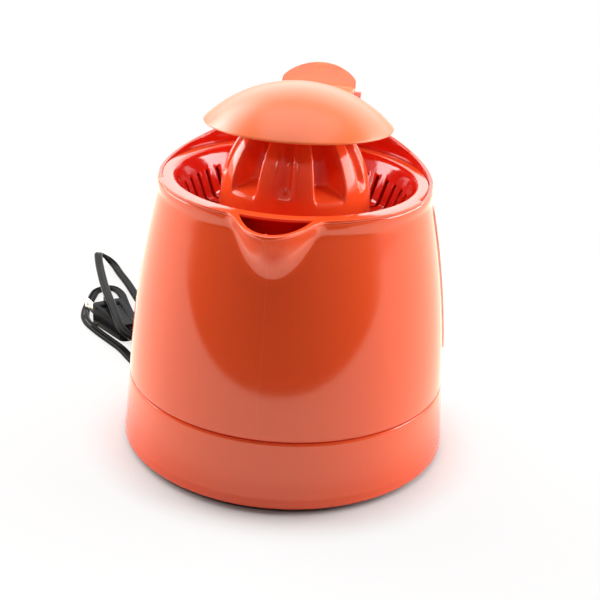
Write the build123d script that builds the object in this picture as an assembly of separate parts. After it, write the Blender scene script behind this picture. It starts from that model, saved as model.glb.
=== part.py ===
from build123d import *
import math
import os

# Electric citrus juicer: motor base, lift-off jug with a pouring beak, strainer, reamer and hinged press lid.
# Millimetres, +Z up from the table, origin on the drive axis. The beak points along -Y, the handle along +Y.

# Clearances
fit_gap = 0.3
running_gap = 0.05
hex_gap = 0.15
seam_gap = 0.5

# Motor base
foot_height = 2.4
foot_ring_radius = 74.0
foot_ring_width = 7.0
base_height = 35.3
base_radius = 85.3
base_top_radius = 82.4
base_wall = 2.6
base_edge_round = 3.0
deck_drop = 3.2
deck_thickness = 2.5
plate_thickness = 2.4
plate_recess = 0.2
plate_screw_circle = 62.0
plate_screw_count = 4
screw_radius = 1.4
screw_head_radius = 3.0
screw_head_height = 1.6
screw_grip = 9.0
boss_wall = 2.6

# Jug
jug_height = 104.2
jug_top_radius = 66.6
jug_belly = 2.8
jug_wall = 2.4
jug_floor = 2.5
jug_foot_wall = 3.0
jug_sections = 9
band_height = 3.2
band_overhang = 2.0
beak_tip = 88.6
beak_half_angle = 20.5
beak_root_angle = 9.0
beak_depth = 27.0
beak_samples = 9
collar_wall = 2.1
collar_rear_height = 19.6
key_width = 6.0
key_height = 2.0
window_angle = 96.0
window_width = 9.0
window_low = 14.0
window_length = 78.0

# Handle, as a side outline swept across its width
handle_width = 24.0
handle_thickness = 12.0
handle_reach = 44.0
handle_top = 130.0
handle_bottom = 46.0
handle_edge_round = 3.5

# Strainer
flange_thickness = 1.6
flange_front_inset = 0.4
flange_tip = 92.0
bowl_radius = 60.2
bowl_floor_radius = 51.0
bowl_depth = 23.0
bowl_wall = 2.0
hole_front_gap = 1.2
hole_half_angle = 15.8
hole_tip = 88.4
slot_count = 44
slot_width = 2.2
slot_top_drop = 9.6
slot_inner_radius = 41.0
slot_turn = -2.2
slot_free_angle = 16.0
hub_wall = 2.4
hub_height = 7.0
hub_drop = 3.0

# Drive line
spindle_radius = 4.0
hex_flats = 6.8
press_travel = 2.0
bush_wall = 2.6
bush_length = 10.0
seal_height = 2.2
tower_wall = 2.6
tower_flare = 1.8
spring_room = 3.2
spring_wire = 0.5
spring_turns = 5
spring_length = 12.0
clip_thickness = 1.2
chimney_gap = 1.6
chimney_wall = 2.2
glide_flange = 1.4
glide_wall = 2.6
insert_wall = 4.0
insert_length = 20.0
insert_roof = 2.0

# Reamer
reamer_radius = 38.0
reamer_height = 54.0
reamer_skirt = 17.5
reamer_wall = 3.0
reamer_lift = 1.0
reamer_turn = -1.0
flute_count = 5
flute_angle = 20.0
flute_depth = 11.0
groove_angle = 7.0
groove_depth = 4.5

# Press lid
lid_radius = 48.0
lid_rise = 22.0
lid_wall = 2.3
lid_tilt = 3.5
lid_over_mouth = 21.4
lid_edge_round = 0.9
hinge_back = 75.0
hinge_over_mouth = 21.0
hinge_pin_radius = 2.0
hinge_barrel = 5.0
lid_arm_width = 39.4
lid_arm_height = 14.5
tongue_length = 22.0
tongue_rise = 36.0
tongue_thickness = 3.0
ear_thickness = 4.0

# Gear train and motor
gear_module = 1.0
pressure_angle = 20.0
gear_backlash = 0.16
pinion_teeth = 12
idler_wheel_teeth = 36
idler_pinion_teeth = 14
output_teeth = 42
pinion_addendum = 1.0
wheel_addendum = 0.65
gear_dedendum = 1.3
gear_room = 11.0
gear_plate_thickness = 1.5
first_gear_width = 4.0
output_width = 4.2
axle_radius = 1.5
output_hub_radius = 6.0
can_radius = 27.0
can_height = 13.5
can_wall = 1.2
coil_width = 6.0
rotor_radius = 17.0
post_x = 32.0
post_front = 42.0
post_rear = 28.0

# Starting switch and mains entry
switch_length = 20.0
switch_width = 6.4
switch_height = 6.0
button_radius = 1.5
button_reach = 3.0
terminal_length = 18.0
terminal_width = 9.0
terminal_height = 8.0
terminal_back = 58.0
core_diameter = 2.8
core_spacing = 2.9
cord_exit_height = 12.2
grommet_neck = 5.0
grommet_flange = 1.6
grommet_length = 26.0

# Plug, lying on the table beside the base
plug_length = 38.0
plug_width = 21.0
plug_tail_width = 12.0
plug_thickness = 13.2
plug_boot = 5.0
plug_place = (-120.0, 99.4)
plug_turn = 130.0
blade_length = 17.0
blade_width = 6.3
blade_thickness = 1.5
blade_spacing = 12.7
blade_hole = 1.6
blade_embed = 5.0

# Levels that follow from the sizes above
base_bottom = foot_height
base_top = base_bottom + base_height
deck_top = base_top - deck_drop
deck_under = deck_top - deck_thickness
plate_under = base_bottom + plate_recess
plate_top = plate_under + plate_thickness
jug_bottom = base_top + seam_gap
rim_top = jug_bottom + jug_height
mouth_top = rim_top + flange_thickness
jug_floor_under = jug_bottom - seam_gap
jug_floor_top = jug_floor_under + jug_floor
band_radius = jug_top_radius + band_overhang
floor_top = mouth_top - bowl_depth
floor_under = floor_top - bowl_wall
hub_top = floor_top + hub_height
hub_bottom = floor_under - hub_drop
chimney_top = hub_bottom - fit_gap
chimney_under = chimney_top - chimney_wall
tower_top = chimney_under - fit_gap - seal_height
glide_under = hub_top + press_travel + fit_gap
glide_top = glide_under + glide_flange
spindle_top = glide_top + insert_length - insert_roof
reamer_bottom = floor_top + press_travel + reamer_lift
reamer_top = reamer_bottom + reamer_height
gear_plate_top = deck_under - gear_room
gear_plate_under = gear_plate_top - gear_plate_thickness
first_gear_low = gear_plate_top + 2 * fit_gap
first_gear_high = first_gear_low + first_gear_width
output_low = first_gear_high + 2 * fit_gap
output_high = output_low + output_width
spring_low = deck_under + deck_thickness
clip_low = spring_low + spring_length
tower_stop = clip_low + clip_thickness + fit_gap
can_bottom = gear_plate_under - can_height
hinge_height = mouth_top + hinge_over_mouth
button_top = plate_top + switch_height + button_reach

# Radii and places that follow
bush_radius = spindle_radius + bush_wall
spring_bore = spindle_radius + spring_room
tower_top_radius = bush_radius + tower_wall
tower_foot_radius = tower_top_radius + tower_flare
chimney_radius = tower_foot_radius + chimney_gap
glide_bore = spindle_radius + 1.0
glide_radius = glide_bore + glide_wall
hub_bore = glide_radius + running_gap
insert_radius = spindle_radius + insert_wall
flange_front_radius = band_radius - flange_front_inset
collar_radius = band_radius - fit_gap
collar_bore = collar_radius - collar_wall
flange_rear_radius = collar_bore - fit_gap
idler_back = gear_module * (idler_pinion_teeth + output_teeth) / 2
rotor_back = idler_back + gear_module * (pinion_teeth + idler_wheel_teeth) / 2
ear_inner = lid_arm_width / 2 + 2 * fit_gap
half_turn = 180.0
cord_width = core_spacing + core_diameter


def base_radius_at(height):
    share = (height - base_bottom) / base_height
    return base_radius + (base_top_radius - base_radius) * share


def jug_radius_at(height):
    share = (height - jug_bottom) / jug_height
    straight = base_top_radius + (jug_top_radius - base_top_radius) * share
    return straight + 4 * jug_belly * share * (1 - share)


def turned(points):
    return revolve(Plane.XZ * make_face(Polyline(*points, close=True)), Axis.Z)


def disc(radius, low, high, x=0.0, y=0.0):
    return Pos(x, y, low) * Cylinder(radius, high - low, align=(Align.CENTER, Align.CENTER, Align.MIN))


def ring(outer, inner, low, high, x=0.0, y=0.0):
    return disc(outer, low, high, x, y) - disc(inner, low, high, x, y)


def hexagon(across_flats, low, high):
    face = RegularPolygon(across_flats / 2, 6, major_radius=False)
    return extrude(Pos(0, 0, low) * face, high - low)


def softened(face, corner, radius):
    return fillet(face.vertices().sort_by_distance(corner)[0], radius)


def screw(low, high, x, y):
    return disc(screw_head_radius, low, low + screw_head_height, x, y) + disc(screw_radius, low, high, x, y)


def around(count, radius, start):
    return [
        (radius * math.cos(math.radians(start + 360 * i / count)),
         radius * math.sin(math.radians(start + 360 * i / count)))
        for i in range(count)
    ]


plate_screw_places = around(plate_screw_count, plate_screw_circle, 45.0)
post_places = [(post_x, -post_front), (-post_x, -post_front), (0.0, post_rear)]


# A round outline with a beak in front: the bump is a squared cosine that leaves the circle tangentially
def mouth(radius, tip, half_angle):
    points = []
    for i in range(beak_samples):
        share = 2 * i / (beak_samples - 1) - 1
        angle = math.radians(half_angle * share)
        reach = radius + (tip - radius) * math.cos(share * math.pi / 2) ** 2
        points.append((reach * math.sin(angle), -reach * math.cos(angle)))
    end = math.radians(half_angle)
    tangents = [(math.cos(end), -math.sin(end)), (math.cos(end), math.sin(end))]
    bump = Spline(*points, tangents=tangents)
    rest = ThreePointArc(points[-1], (0, radius), points[0])
    return make_face([bump, rest])


def base_housing():
    wall_in = base_radius_at(deck_under) - base_wall
    rim_in = base_top_radius - base_wall
    profile = make_face(Polyline(
        (base_radius - base_wall, base_bottom), (base_radius, base_bottom),
        (base_top_radius, base_top), (rim_in, base_top), (rim_in, deck_top),
        (tower_foot_radius, deck_top), (tower_top_radius, tower_top),
        (bush_radius, tower_top), (bush_radius, tower_top - bush_length),
        (spindle_radius + 1.0, tower_top - bush_length), (spindle_radius + 1.0, tower_stop),
        (spring_bore, tower_stop), (spring_bore, deck_under), (wall_in, deck_under), close=True))
    profile = softened(profile, (base_radius, base_bottom), min(base_edge_round, 0.9 * base_wall))
    body = revolve(Plane.XZ * profile, Axis.Z)
    boss_radius = screw_radius + boss_wall
    for x, y in plate_screw_places:
        body += ring(boss_radius, screw_radius, plate_top, deck_under, x, y)
    for x, y in post_places:
        body += ring(boss_radius, screw_radius, gear_plate_top, deck_under, x, y)
    for side in (-1, 1):
        key = Box(jug_foot_wall - 2 * fit_gap, key_width, key_height,
                  align=(Align.MAX, Align.CENTER, Align.MIN))
        body += Rot(0, 0, 90 - 90 * side) * Pos(rim_in - 2 * fit_gap, 0, deck_top) * key
    return body - grommet_hole(grommet_neck + running_gap)


def grommet_hole(radius):
    reach = base_radius + base_wall
    return Pos(0, 0, cord_exit_height) * Rot(-90, 0, 0) * disc(radius, reach - 6 * base_wall, reach)


def base_plate():
    body = disc(base_radius_at(plate_top) - base_wall - fit_gap, plate_under, plate_top)
    for x, y in plate_screw_places:
        body -= disc(screw_radius + fit_gap, plate_under, plate_top, x, y)
        body -= disc(screw_head_radius + fit_gap, plate_under, plate_under + screw_head_height, x, y)
    return body


def foot_ring():
    half = foot_ring_width / 2
    return ring(foot_ring_radius + half, foot_ring_radius - half, 0, plate_under)


def base_screws():
    return [screw(plate_under, plate_top + screw_grip, x, y) for x, y in plate_screw_places]


def jug_shell(inset, low):
    sections = []
    for i in range(jug_sections):
        height = low + (rim_top - low) * i / (jug_sections - 1)
        share = max(0.0, (height - rim_top) / beak_depth + 1)
        radius = jug_radius_at(height) - inset
        reach = (beak_tip - jug_top_radius) * share ** 1.5
        spread = beak_root_angle + (beak_half_angle - beak_root_angle) * share
        spread -= math.degrees(inset / jug_top_radius) * 0.6
        sections.append(Pos(0, 0, height) * mouth(radius, radius + reach, spread))
    return loft(sections)


def jug_lip():
    return Pos(0, 0, rim_top - band_height) * extrude(
        mouth(band_radius, beak_tip + fit_gap, beak_half_angle), band_height)


# The rear of the rim rises as a collar that carries the hinge
def collar():
    ends = collar_radius + jug_wall
    top = rim_top + collar_rear_height
    crest = Spline((-0.3 * band_radius, rim_top), (0.17 * band_radius, rim_top + 0.14 * collar_rear_height),
                   (0.62 * band_radius, rim_top + 0.42 * collar_rear_height), (ends, top))
    below = rim_top - 2 * band_height
    cut = make_face([crest, Polyline(crest @ 1, (ends, top + ends), (-ends, top + ends),
                                     (-ends, below), ((crest @ 0).X, below), crest @ 0)])
    wall = ring(collar_radius, collar_bore, rim_top - band_height, top + jug_wall)
    return wall - extrude(Plane.YZ * cut, ends, both=True)


def hinge_ears():
    reach = hinge_barrel + 0.5
    eye = Pos(hinge_back, hinge_height) * Circle(reach)
    root = Pos(collar_bore - 2 * reach, rim_top - band_height) * Rectangle(
        2.4 * reach, collar_rear_height, align=(Align.MIN, Align.MIN))
    outline = make_hull(eye.edges() + root.edges())
    plate = extrude(Plane.YZ * outline, ear_thickness)
    ears = Pos(ear_inner, 0, 0) * plate + Pos(-ear_inner - ear_thickness, 0, 0) * plate
    return ears - disc(collar_bore, rim_top - band_height, hinge_height + reach)


def hinge_line(radius, half_length):
    return Pos(0, hinge_back, hinge_height) * Rot(0, 90, 0) * Cylinder(radius, 2 * half_length)


def handle():
    rear = base_top_radius + handle_reach - handle_thickness
    thick = handle_thickness
    outer = make_face(Polyline(
        (jug_top_radius, handle_top), (rear - thick, handle_top - 0.2 * thick),
        (rear, handle_top - 1.4 * thick), (rear - 0.2 * thick, handle_bottom + thick),
        (rear - 1.2 * thick, handle_bottom),
        (jug_top_radius, handle_bottom), close=True))
    outer = fillet([v for v in outer.vertices() if v.X > jug_top_radius + 1], thick)
    inner = make_face(Polyline(
        (jug_top_radius, handle_top - thick), (rear - 1.4 * thick, handle_top - 1.2 * thick),
        (rear - thick, handle_top - 1.8 * thick), (rear - 1.2 * thick, handle_bottom + 1.4 * thick),
        (rear - 1.5 * thick, handle_bottom + thick), (jug_top_radius, handle_bottom + thick), close=True))
    inner = fillet([v for v in inner.vertices() if v.X > jug_top_radius + 1], 0.3 * thick)
    bow = extrude(Plane.YZ * (outer - inner), handle_width / 2, both=True)
    sides = bow.faces().sort_by(Axis.X)
    return fillet(sides[0].edges() + sides[-1].edges(), handle_edge_round)


def window_slot(inset):
    width = window_width - 2 * inset
    length = window_length - 2 * inset
    shape = SlotOverall(length, width, rotation=90)
    low = jug_floor_top + window_low + window_length / 2
    plane = Plane((0, 0, low), x_dir=(0, 1, 0), z_dir=(1, 0, 0))
    return Rot(0, 0, window_angle - 90) * extrude(plane * shape, base_radius + jug_wall)


def jug_and_window():
    inside = jug_shell(jug_wall, jug_floor_top)
    shell = jug_shell(0, jug_bottom) - inside
    window = shell & window_slot(running_gap)
    body = shell + (jug_lip() - inside) + collar()
    foot_radius = base_top_radius - base_wall - fit_gap
    body += disc(foot_radius, jug_floor_under, jug_floor_top)
    body += ring(foot_radius, foot_radius - jug_foot_wall, deck_top, jug_floor_top)
    body += turned([
        (chimney_radius, jug_floor_under), (chimney_radius + chimney_wall, jug_floor_under),
        (tower_top_radius + chimney_gap + chimney_wall, chimney_top), (0, chimney_top),
        (0, chimney_under), (tower_top_radius + chimney_gap, chimney_under)])
    body += handle() - jug_shell(0.5 * jug_wall, jug_bottom)
    body += hinge_ears()
    body -= turned([
        (0, jug_floor_under), (chimney_radius, jug_floor_under),
        (tower_top_radius + chimney_gap, chimney_under), (0, chimney_under)])
    body -= disc(glide_radius, chimney_under, chimney_top)
    body -= hinge_line(hinge_pin_radius, base_radius)
    notch = Box(4 * jug_foot_wall, key_width + 4 * fit_gap, key_height + fit_gap,
                align=(Align.CENTER, Align.CENTER, Align.MIN))
    for side in (-1, 1):
        body -= Pos(side * foot_radius, 0, deck_top) * notch
    return body - window_slot(0), window


def strainer():
    outer_top = bowl_radius + bowl_wall
    outer_foot = bowl_floor_radius + bowl_wall
    body = turned([
        (hub_bore, hub_bottom), (hub_bore + hub_wall, hub_bottom), (hub_bore + hub_wall, floor_under),
        (outer_foot, floor_under), (outer_top, mouth_top), (bowl_radius, mouth_top),
        (bowl_floor_radius, floor_top), (hub_bore + hub_wall, floor_top),
        (hub_bore + hub_wall, hub_top), (hub_bore, hub_top)])
    flange = extrude(mouth(flange_front_radius, flange_tip, beak_half_angle), flange_thickness)
    flange = Pos(0, 0, rim_top) * flange
    flange -= disc(bowl_radius, rim_top, mouth_top)
    rear = disc(2 * band_radius, rim_top, mouth_top) - disc(flange_rear_radius, rim_top, mouth_top)
    front = Pos(0, -0.34 * band_radius, 0) * Box(4 * band_radius, 4 * band_radius, 4 * mouth_top,
                                                align=(Align.CENTER, Align.MAX, Align.CENTER))
    body += flange - (rear - front)
    bar_edge = flange_front_radius - hole_front_gap
    hole = mouth(bar_edge, hole_tip, hole_half_angle) - Circle(bar_edge)
    body -= Pos(0, 0, rim_top) * extrude(hole, flange_thickness)
    slot_height = mouth_top - slot_top_drop - hub_bottom
    shape = SlotOverall(2 * slot_height, slot_width, rotation=90)
    plane = Plane((slot_inner_radius, 0, hub_bottom), x_dir=(0, 1, 0), z_dir=(1, 0, 0))
    cutter = extrude(plane * shape, outer_top - slot_inner_radius)
    angles = [slot_turn + 360 * i / slot_count - half_turn for i in range(slot_count)]
    return body - [Rot(0, 0, 90 + a) * cutter for a in angles if abs(a) < half_turn - slot_free_angle]


def glide_ring():
    return ring(glide_radius, glide_bore, hub_bottom + press_travel + fit_gap, glide_under) + ring(
        hub_bore + hub_wall, glide_bore, glide_under, glide_top)


# Superellipse outline of the reamer, as radius at a height
def reamer_radius_at(height):
    share = (height - reamer_bottom) / reamer_height
    return reamer_radius * math.sqrt(max(0.0, 1 - share ** 2.5))


# Wedge that cuts a flute from above the skirt to near the tip, its floor following the outline
def flute_wedge(depth, angle):
    low = reamer_bottom + reamer_skirt
    beyond = reamer_radius + reamer_wall
    above = reamer_top + reamer_wall
    heights = [low + share * (reamer_top - low) for share in (0.12, 0.35, 0.65, 0.9)]
    floor = Spline((beyond, low), *[(reamer_radius_at(h) - depth, h) for h in heights])
    face = make_face([floor, Polyline(floor @ 1, ((floor @ 1).X, above), (beyond, above), floor @ 0)])
    return Rot(0, 0, -90 - angle / 2) * revolve(Plane.XZ * face, Axis.Z, angle)


def reamer():
    steps = 8
    heights = [reamer_bottom + reamer_height * math.sin(i / steps * math.pi / 2) for i in range(steps)]
    side = Spline(*[(reamer_radius_at(h), h) for h in heights], (0, reamer_top),
                  tangents=[(0, 1), (-1, 0)])
    profile = make_face([side, Polyline((0, reamer_top), (0, reamer_bottom), (reamer_radius, reamer_bottom))])
    body = revolve(Plane.XZ * profile, Axis.Z)
    pitch = 360 / flute_count
    for i in range(flute_count):
        body -= Rot(0, 0, reamer_turn + pitch * i) * flute_wedge(groove_depth, groove_angle)
        body -= Rot(0, 0, reamer_turn + pitch * (i + 0.5)) * flute_wedge(flute_depth, flute_angle)
    skirt_top = reamer_bottom + reamer_skirt
    insert_top = glide_top + insert_length
    flute_floor = reamer_radius_at(insert_top) - flute_depth
    cavity = turned([
        (0, reamer_bottom), (reamer_radius - reamer_wall, reamer_bottom),
        (reamer_radius - 1.3 * reamer_wall, skirt_top - reamer_wall),
        (reamer_radius - flute_depth - 1.6 * reamer_wall, skirt_top + reamer_wall),
        (flute_floor - 2 * reamer_wall, insert_top), (0, insert_top)])
    body -= cavity - disc(insert_radius + reamer_wall, glide_top, insert_top)
    return body - disc(insert_radius, glide_top, insert_top)


def drive_insert():
    body = disc(insert_radius, glide_top, glide_top + insert_length)
    return body - hexagon(hex_flats + 2 * hex_gap, glide_top, spindle_top)


# The lid is drawn level and then turned about its hinge to where it rests
def lid():
    sphere = (lid_radius ** 2 + lid_rise ** 2) / (2 * lid_rise)
    rim = mouth_top + lid_over_mouth
    centre = rim + lid_rise - sphere
    below = Pos(0, 0, rim) * Box(4 * sphere, 4 * sphere, 4 * sphere,
                                 align=(Align.CENTER, Align.CENTER, Align.MAX))
    cap = Pos(0, 0, centre) * Sphere(sphere) - below
    hollow = Pos(0, 0, centre) * Sphere(sphere - lid_wall) - below
    cap = fillet(cap.edges(), lid_edge_round)
    run = math.cos(math.radians(tongue_rise))
    climb = math.sin(math.radians(tongue_rise))
    tip_y = hinge_back + tongue_length * run
    tip_z = hinge_height + tongue_length * climb
    under = rim + lid_edge_round
    outline = make_face(Polyline(
        (0.75 * lid_radius, under), (hinge_back - hinge_barrel, under),
        (hinge_back + hinge_barrel * climb, hinge_height - hinge_barrel * run),
        (tip_y, tip_z), (tip_y - tongue_thickness * climb, tip_z + tongue_thickness * run),
        (hinge_back + 0.5 * hinge_barrel, hinge_height + 1.3 * hinge_barrel),
        (hinge_back - 2 * hinge_barrel, hinge_height + 1.6 * hinge_barrel),
        (0.75 * lid_radius, rim + lid_arm_height), close=True))
    outline += Pos(hinge_back, hinge_height) * Circle(hinge_barrel)
    arm = extrude(Plane.YZ * outline, lid_arm_width / 2, both=True)
    straight = hinge_back
    plan = Pos(0, straight / 2) * Rectangle(lid_arm_width, straight)
    plan += Pos(0, straight) * Ellipse(lid_arm_width / 2, tip_y + 1 - straight)
    arm &= extrude(plan, hinge_height + 2 * tongue_length)
    body = (cap + arm) - hollow - hinge_line(hinge_pin_radius + running_gap, lid_arm_width)
    return body.rotate(Axis((0, hinge_back, hinge_height), (1, 0, 0)), -lid_tilt)


def hinge_pin():
    return hinge_line(hinge_pin_radius, ear_inner + ear_thickness)


# Involute gear with straight-sided flank steps, thinned by the backlash
def gear(teeth, addendum, low, high, turn=0.0, x=0.0, y=0.0):
    pitch = gear_module * teeth / 2
    base = pitch * math.cos(math.radians(pressure_angle))
    root = pitch - gear_dedendum * gear_module
    tip = pitch + addendum * gear_module
    start = max(base, root)
    steps = 3
    flank = [start + (tip - start) * i / steps for i in range(steps + 1)]

    def involute(radius):
        angle = math.acos(min(1.0, base / radius))
        return math.tan(angle) - angle

    half = math.pi / (2 * teeth) - gear_backlash / (2 * pitch) + involute(pitch)
    side = [(root, half)] + [(r, half - involute(r)) for r in flank]
    points = []
    for i in range(teeth):
        middle = 2 * math.pi * i / teeth + math.radians(turn)
        for radius, angle in side:
            points.append((radius * math.cos(middle - angle), radius * math.sin(middle - angle)))
        for radius, angle in reversed(side):
            points.append((radius * math.cos(middle + angle), radius * math.sin(middle + angle)))
    return Pos(x, y, low) * extrude(make_face(Polyline(*points, close=True)), high - low)


def output_gear():
    shoulder = gear_plate_top + grommet_flange
    body = gear(output_teeth, wheel_addendum, output_low, output_high, -90.0)
    body += disc(output_hub_radius, gear_plate_under - gear_plate_thickness, output_low)
    body += disc(output_hub_radius + bush_wall - fit_gap, shoulder, output_low)
    body += disc(spring_bore - 2 * fit_gap, output_high, spring_low)
    return body - hexagon(hex_flats + 2 * hex_gap, gear_plate_under - gear_plate_thickness, spring_low)


def idler_gear():
    wheel_turn = -90.0 + half_turn / idler_wheel_teeth
    pinion_turn = 90.0 + half_turn / idler_pinion_teeth
    body = gear(idler_wheel_teeth, wheel_addendum, first_gear_low, first_gear_high,
                wheel_turn, 0, -idler_back)
    body += gear(idler_pinion_teeth, pinion_addendum, first_gear_high, deck_under - 2 * fit_gap,
                 pinion_turn, 0, -idler_back)
    return body - disc(axle_radius + running_gap, first_gear_low, deck_under, 0, -idler_back)


def idler_axle():
    return disc(axle_radius, gear_plate_under, deck_under - fit_gap, 0, -idler_back)


def rotor_shaft():
    shaft = disc(axle_radius, can_bottom, first_gear_high + fit_gap, 0, -rotor_back)
    return shaft + gear(pinion_teeth, pinion_addendum, first_gear_low, first_gear_high, 90.0, 0, -rotor_back)


def rotor():
    low = can_bottom + 2 * can_wall
    return ring(rotor_radius, axle_radius, low, gear_plate_under - can_wall, 0, -rotor_back)


def motor_can():
    body = disc(can_radius, can_bottom, gear_plate_under, 0, -rotor_back)
    body -= disc(can_radius - can_wall, can_bottom + can_wall, gear_plate_under, 0, -rotor_back)
    return body - disc(axle_radius + running_gap, can_bottom, gear_plate_under, 0, -rotor_back)


def motor_coil():
    outer = can_radius - can_wall
    return ring(outer, outer - coil_width, can_bottom + can_wall, gear_plate_under - can_wall, 0, -rotor_back)


def gear_plate():
    boss_radius = screw_radius + boss_wall
    rounds = [Pos(0, -rotor_back) * Circle(can_radius)]
    rounds += [Pos(x, y) * Circle(boss_radius + fit_gap) for x, y in post_places]
    outline = make_hull([e for r in rounds for e in r.edges()])
    body = Pos(0, 0, gear_plate_under) * extrude(outline, gear_plate_thickness)
    body -= disc(axle_radius, gear_plate_under, gear_plate_top, 0, -idler_back)
    body -= disc(axle_radius + running_gap, gear_plate_under, gear_plate_top, 0, -rotor_back)
    body -= disc(output_hub_radius + bush_wall - running_gap, gear_plate_under, gear_plate_top)
    for x, y in post_places:
        body -= disc(screw_radius + fit_gap, gear_plate_under, gear_plate_top, x, y)
    return body


def plate_bush():
    outer = output_hub_radius + bush_wall - running_gap
    return ring(outer, output_hub_radius + running_gap, gear_plate_under - gear_plate_thickness,
                gear_plate_top) + ring(outer + 2 * fit_gap, output_hub_radius + running_gap,
                                       gear_plate_top, gear_plate_top + grommet_flange)


def gear_plate_screws():
    low = gear_plate_under - screw_head_height
    return [screw(low, gear_plate_top + screw_grip, x, y) for x, y in post_places]


def spindle():
    hex_end = spring_low + press_travel + fit_gap
    hex_bottom = hexagon(hex_flats, button_top, hex_end)
    hex_top = hexagon(hex_flats, glide_top, spindle_top)
    groove = ring(spindle_radius, 0.75 * spindle_radius, clip_low, clip_low + clip_thickness)
    return disc(spindle_radius, hex_end, glide_top) + hex_bottom + hex_top - groove


def spindle_clip():
    return ring(spring_bore - 2 * fit_gap, 0.75 * spindle_radius, clip_low, clip_low + clip_thickness)


def return_spring():
    radius = spindle_radius + fit_gap + 2 * spring_wire
    low = spring_low + spring_wire
    rise = spring_length - 2 * spring_wire
    line = Pos(0, 0, low) * Helix(rise / spring_turns, rise, radius)
    return sweep(Plane(line @ 0, z_dir=line % 0) * Circle(spring_wire), line, is_frenet=True)


def tower_bush():
    return ring(bush_radius, spindle_radius + running_gap, tower_top - bush_length, tower_top)


def spindle_seal():
    return turned([
        (spindle_radius + fit_gap, tower_top), (tower_top_radius, tower_top),
        (tower_top_radius, tower_top + 0.5 * seal_height),
        (spindle_radius + 2 * fit_gap, tower_top + seal_height),
        (spindle_radius + running_gap, tower_top + seal_height)])


def microswitch():
    body = Pos(0, 0, plate_top) * Box(switch_length, switch_width, switch_height,
                                      align=(Align.CENTER, Align.CENTER, Align.MIN))
    return body - disc(button_radius + running_gap, plate_top + fit_gap, plate_top + switch_height)


def switch_button():
    return disc(button_radius, plate_top + fit_gap + press_travel, button_top)


def terminal_block():
    body = Pos(0, terminal_back, plate_top) * Box(terminal_length, terminal_width, terminal_height,
                                                  align=(Align.CENTER, Align.CENTER, Align.MIN))
    for side in (-1, 1):
        body -= disc(1.2 * screw_radius, plate_top + 0.5 * terminal_height, plate_top + terminal_height,
                     side * terminal_length / 4, terminal_back)
    return body


def grommet_outside():
    return base_radius_at(cord_exit_height - grommet_neck - grommet_flange) + fit_gap


# Strain relief through the rear wall, tapering towards the cord
def cord_grommet():
    neck = grommet_neck
    reach = neck + grommet_flange
    inner_wall = base_radius_at(cord_exit_height + reach) - base_wall
    inside = math.sqrt(inner_wall ** 2 - reach ** 2) - fit_gap - grommet_flange
    outside = grommet_outside()
    profile = make_face(Polyline(
        (0, inside), (neck + grommet_flange, inside), (neck + grommet_flange, inside + grommet_flange),
        (neck, inside + grommet_flange), (neck, outside), (neck + grommet_flange, outside),
        (neck + grommet_flange, outside + grommet_flange), (neck, outside + 2 * grommet_flange),
        (0.75 * neck, outside + grommet_length), (0, outside + grommet_length), close=True))
    body = revolve(Plane.XZ * profile, Axis.Z)
    return Pos(0, 0, cord_exit_height) * Rot(-90, 0, 0) * body


# Points of the cord's route: strain relief, round behind the base, two folded loops, back to the plug
cord_start = (0.0, grommet_outside() + grommet_length, cord_exit_height)
cord_points = [
    cord_start,
    (0.0, 122.0, cord_exit_height), (-4.0, 135.0, 8.5), (-14.0, 146.0, 4.0), (-29.0, 150.0, 1.6),
    (-44.0, 143.5, 1.6), (-55.0, 130.0, 2.2), (-65.0, 114.0, 4.2), (-77.0, 99.0, 5.4),
    (-87.5, 84.0, 6.4), (-95.0, 71.5, 9.6), (-102.5, 65.5, 12.4), (-110.0, 70.5, 15.0),
    (-115.5, 81.5, 15.8), (-121.5, 95.0, 15.8), (-129.5, 112.0, 15.6), (-139.0, 134.0, 14.2),
    (-148.0, 157.0, 13.4), (-154.0, 173.0, 12.8), (-159.2, 188.0, 11.8), (-162.1, 197.5, 10.9),
    (-158.8, 204.0, 6.2), (-152.0, 202.5, 1.6), (-144.5, 188.5, 1.6), (-134.5, 173.0, 1.6),
    (-123.5, 153.0, 1.6), (-112.0, 132.5, 1.6), (-99.0, 115.0, 1.6), (-86.0, 100.0, 1.6),
    (-74.5, 84.5, 1.6), (-68.5, 69.0, 1.6), (-72.5, 55.0, 1.6), (-83.0, 48.0, 1.6), (-95.0, 51.5, 1.6),
    (-103.0, 61.5, 1.6), (-110.0, 71.0, 1.6), (-120.0, 80.5, 1.6), (-132.0, 92.0, 1.6),
    (-143.0, 104.5, 1.6), (-147.5, 118.0, 1.6), (-149.0, 132.0, 1.6), (-150.0, 144.0, 1.6),
    (-150.5, 154.0, 1.6), (-142.0, 162.0, 1.6), (-133.3, 153.8, 1.6), (-127.0, 139.5, 1.6),
    (-120.5, 125.5, 1.6), (-112.5, 111.5, 1.6), (-102.5, 100.5, 1.6), (-92.0, 91.0, 1.6),
    (-83.5, 81.0, 1.6), (-79.8, 70.5, 1.6), (-84.5, 62.0, 2.0), (-93.0, 62.8, 3.6),
    (-98.8, 74.1, plug_thickness / 2),
]


def plug_frame():
    return Pos(plug_place[0], plug_place[1], plug_thickness / 2) * Rot(0, 0, plug_turn)


def plug_tail():
    end = plug_frame() * Pos(-plug_length / 2 - plug_boot, 0, 0)
    return end.position


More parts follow.
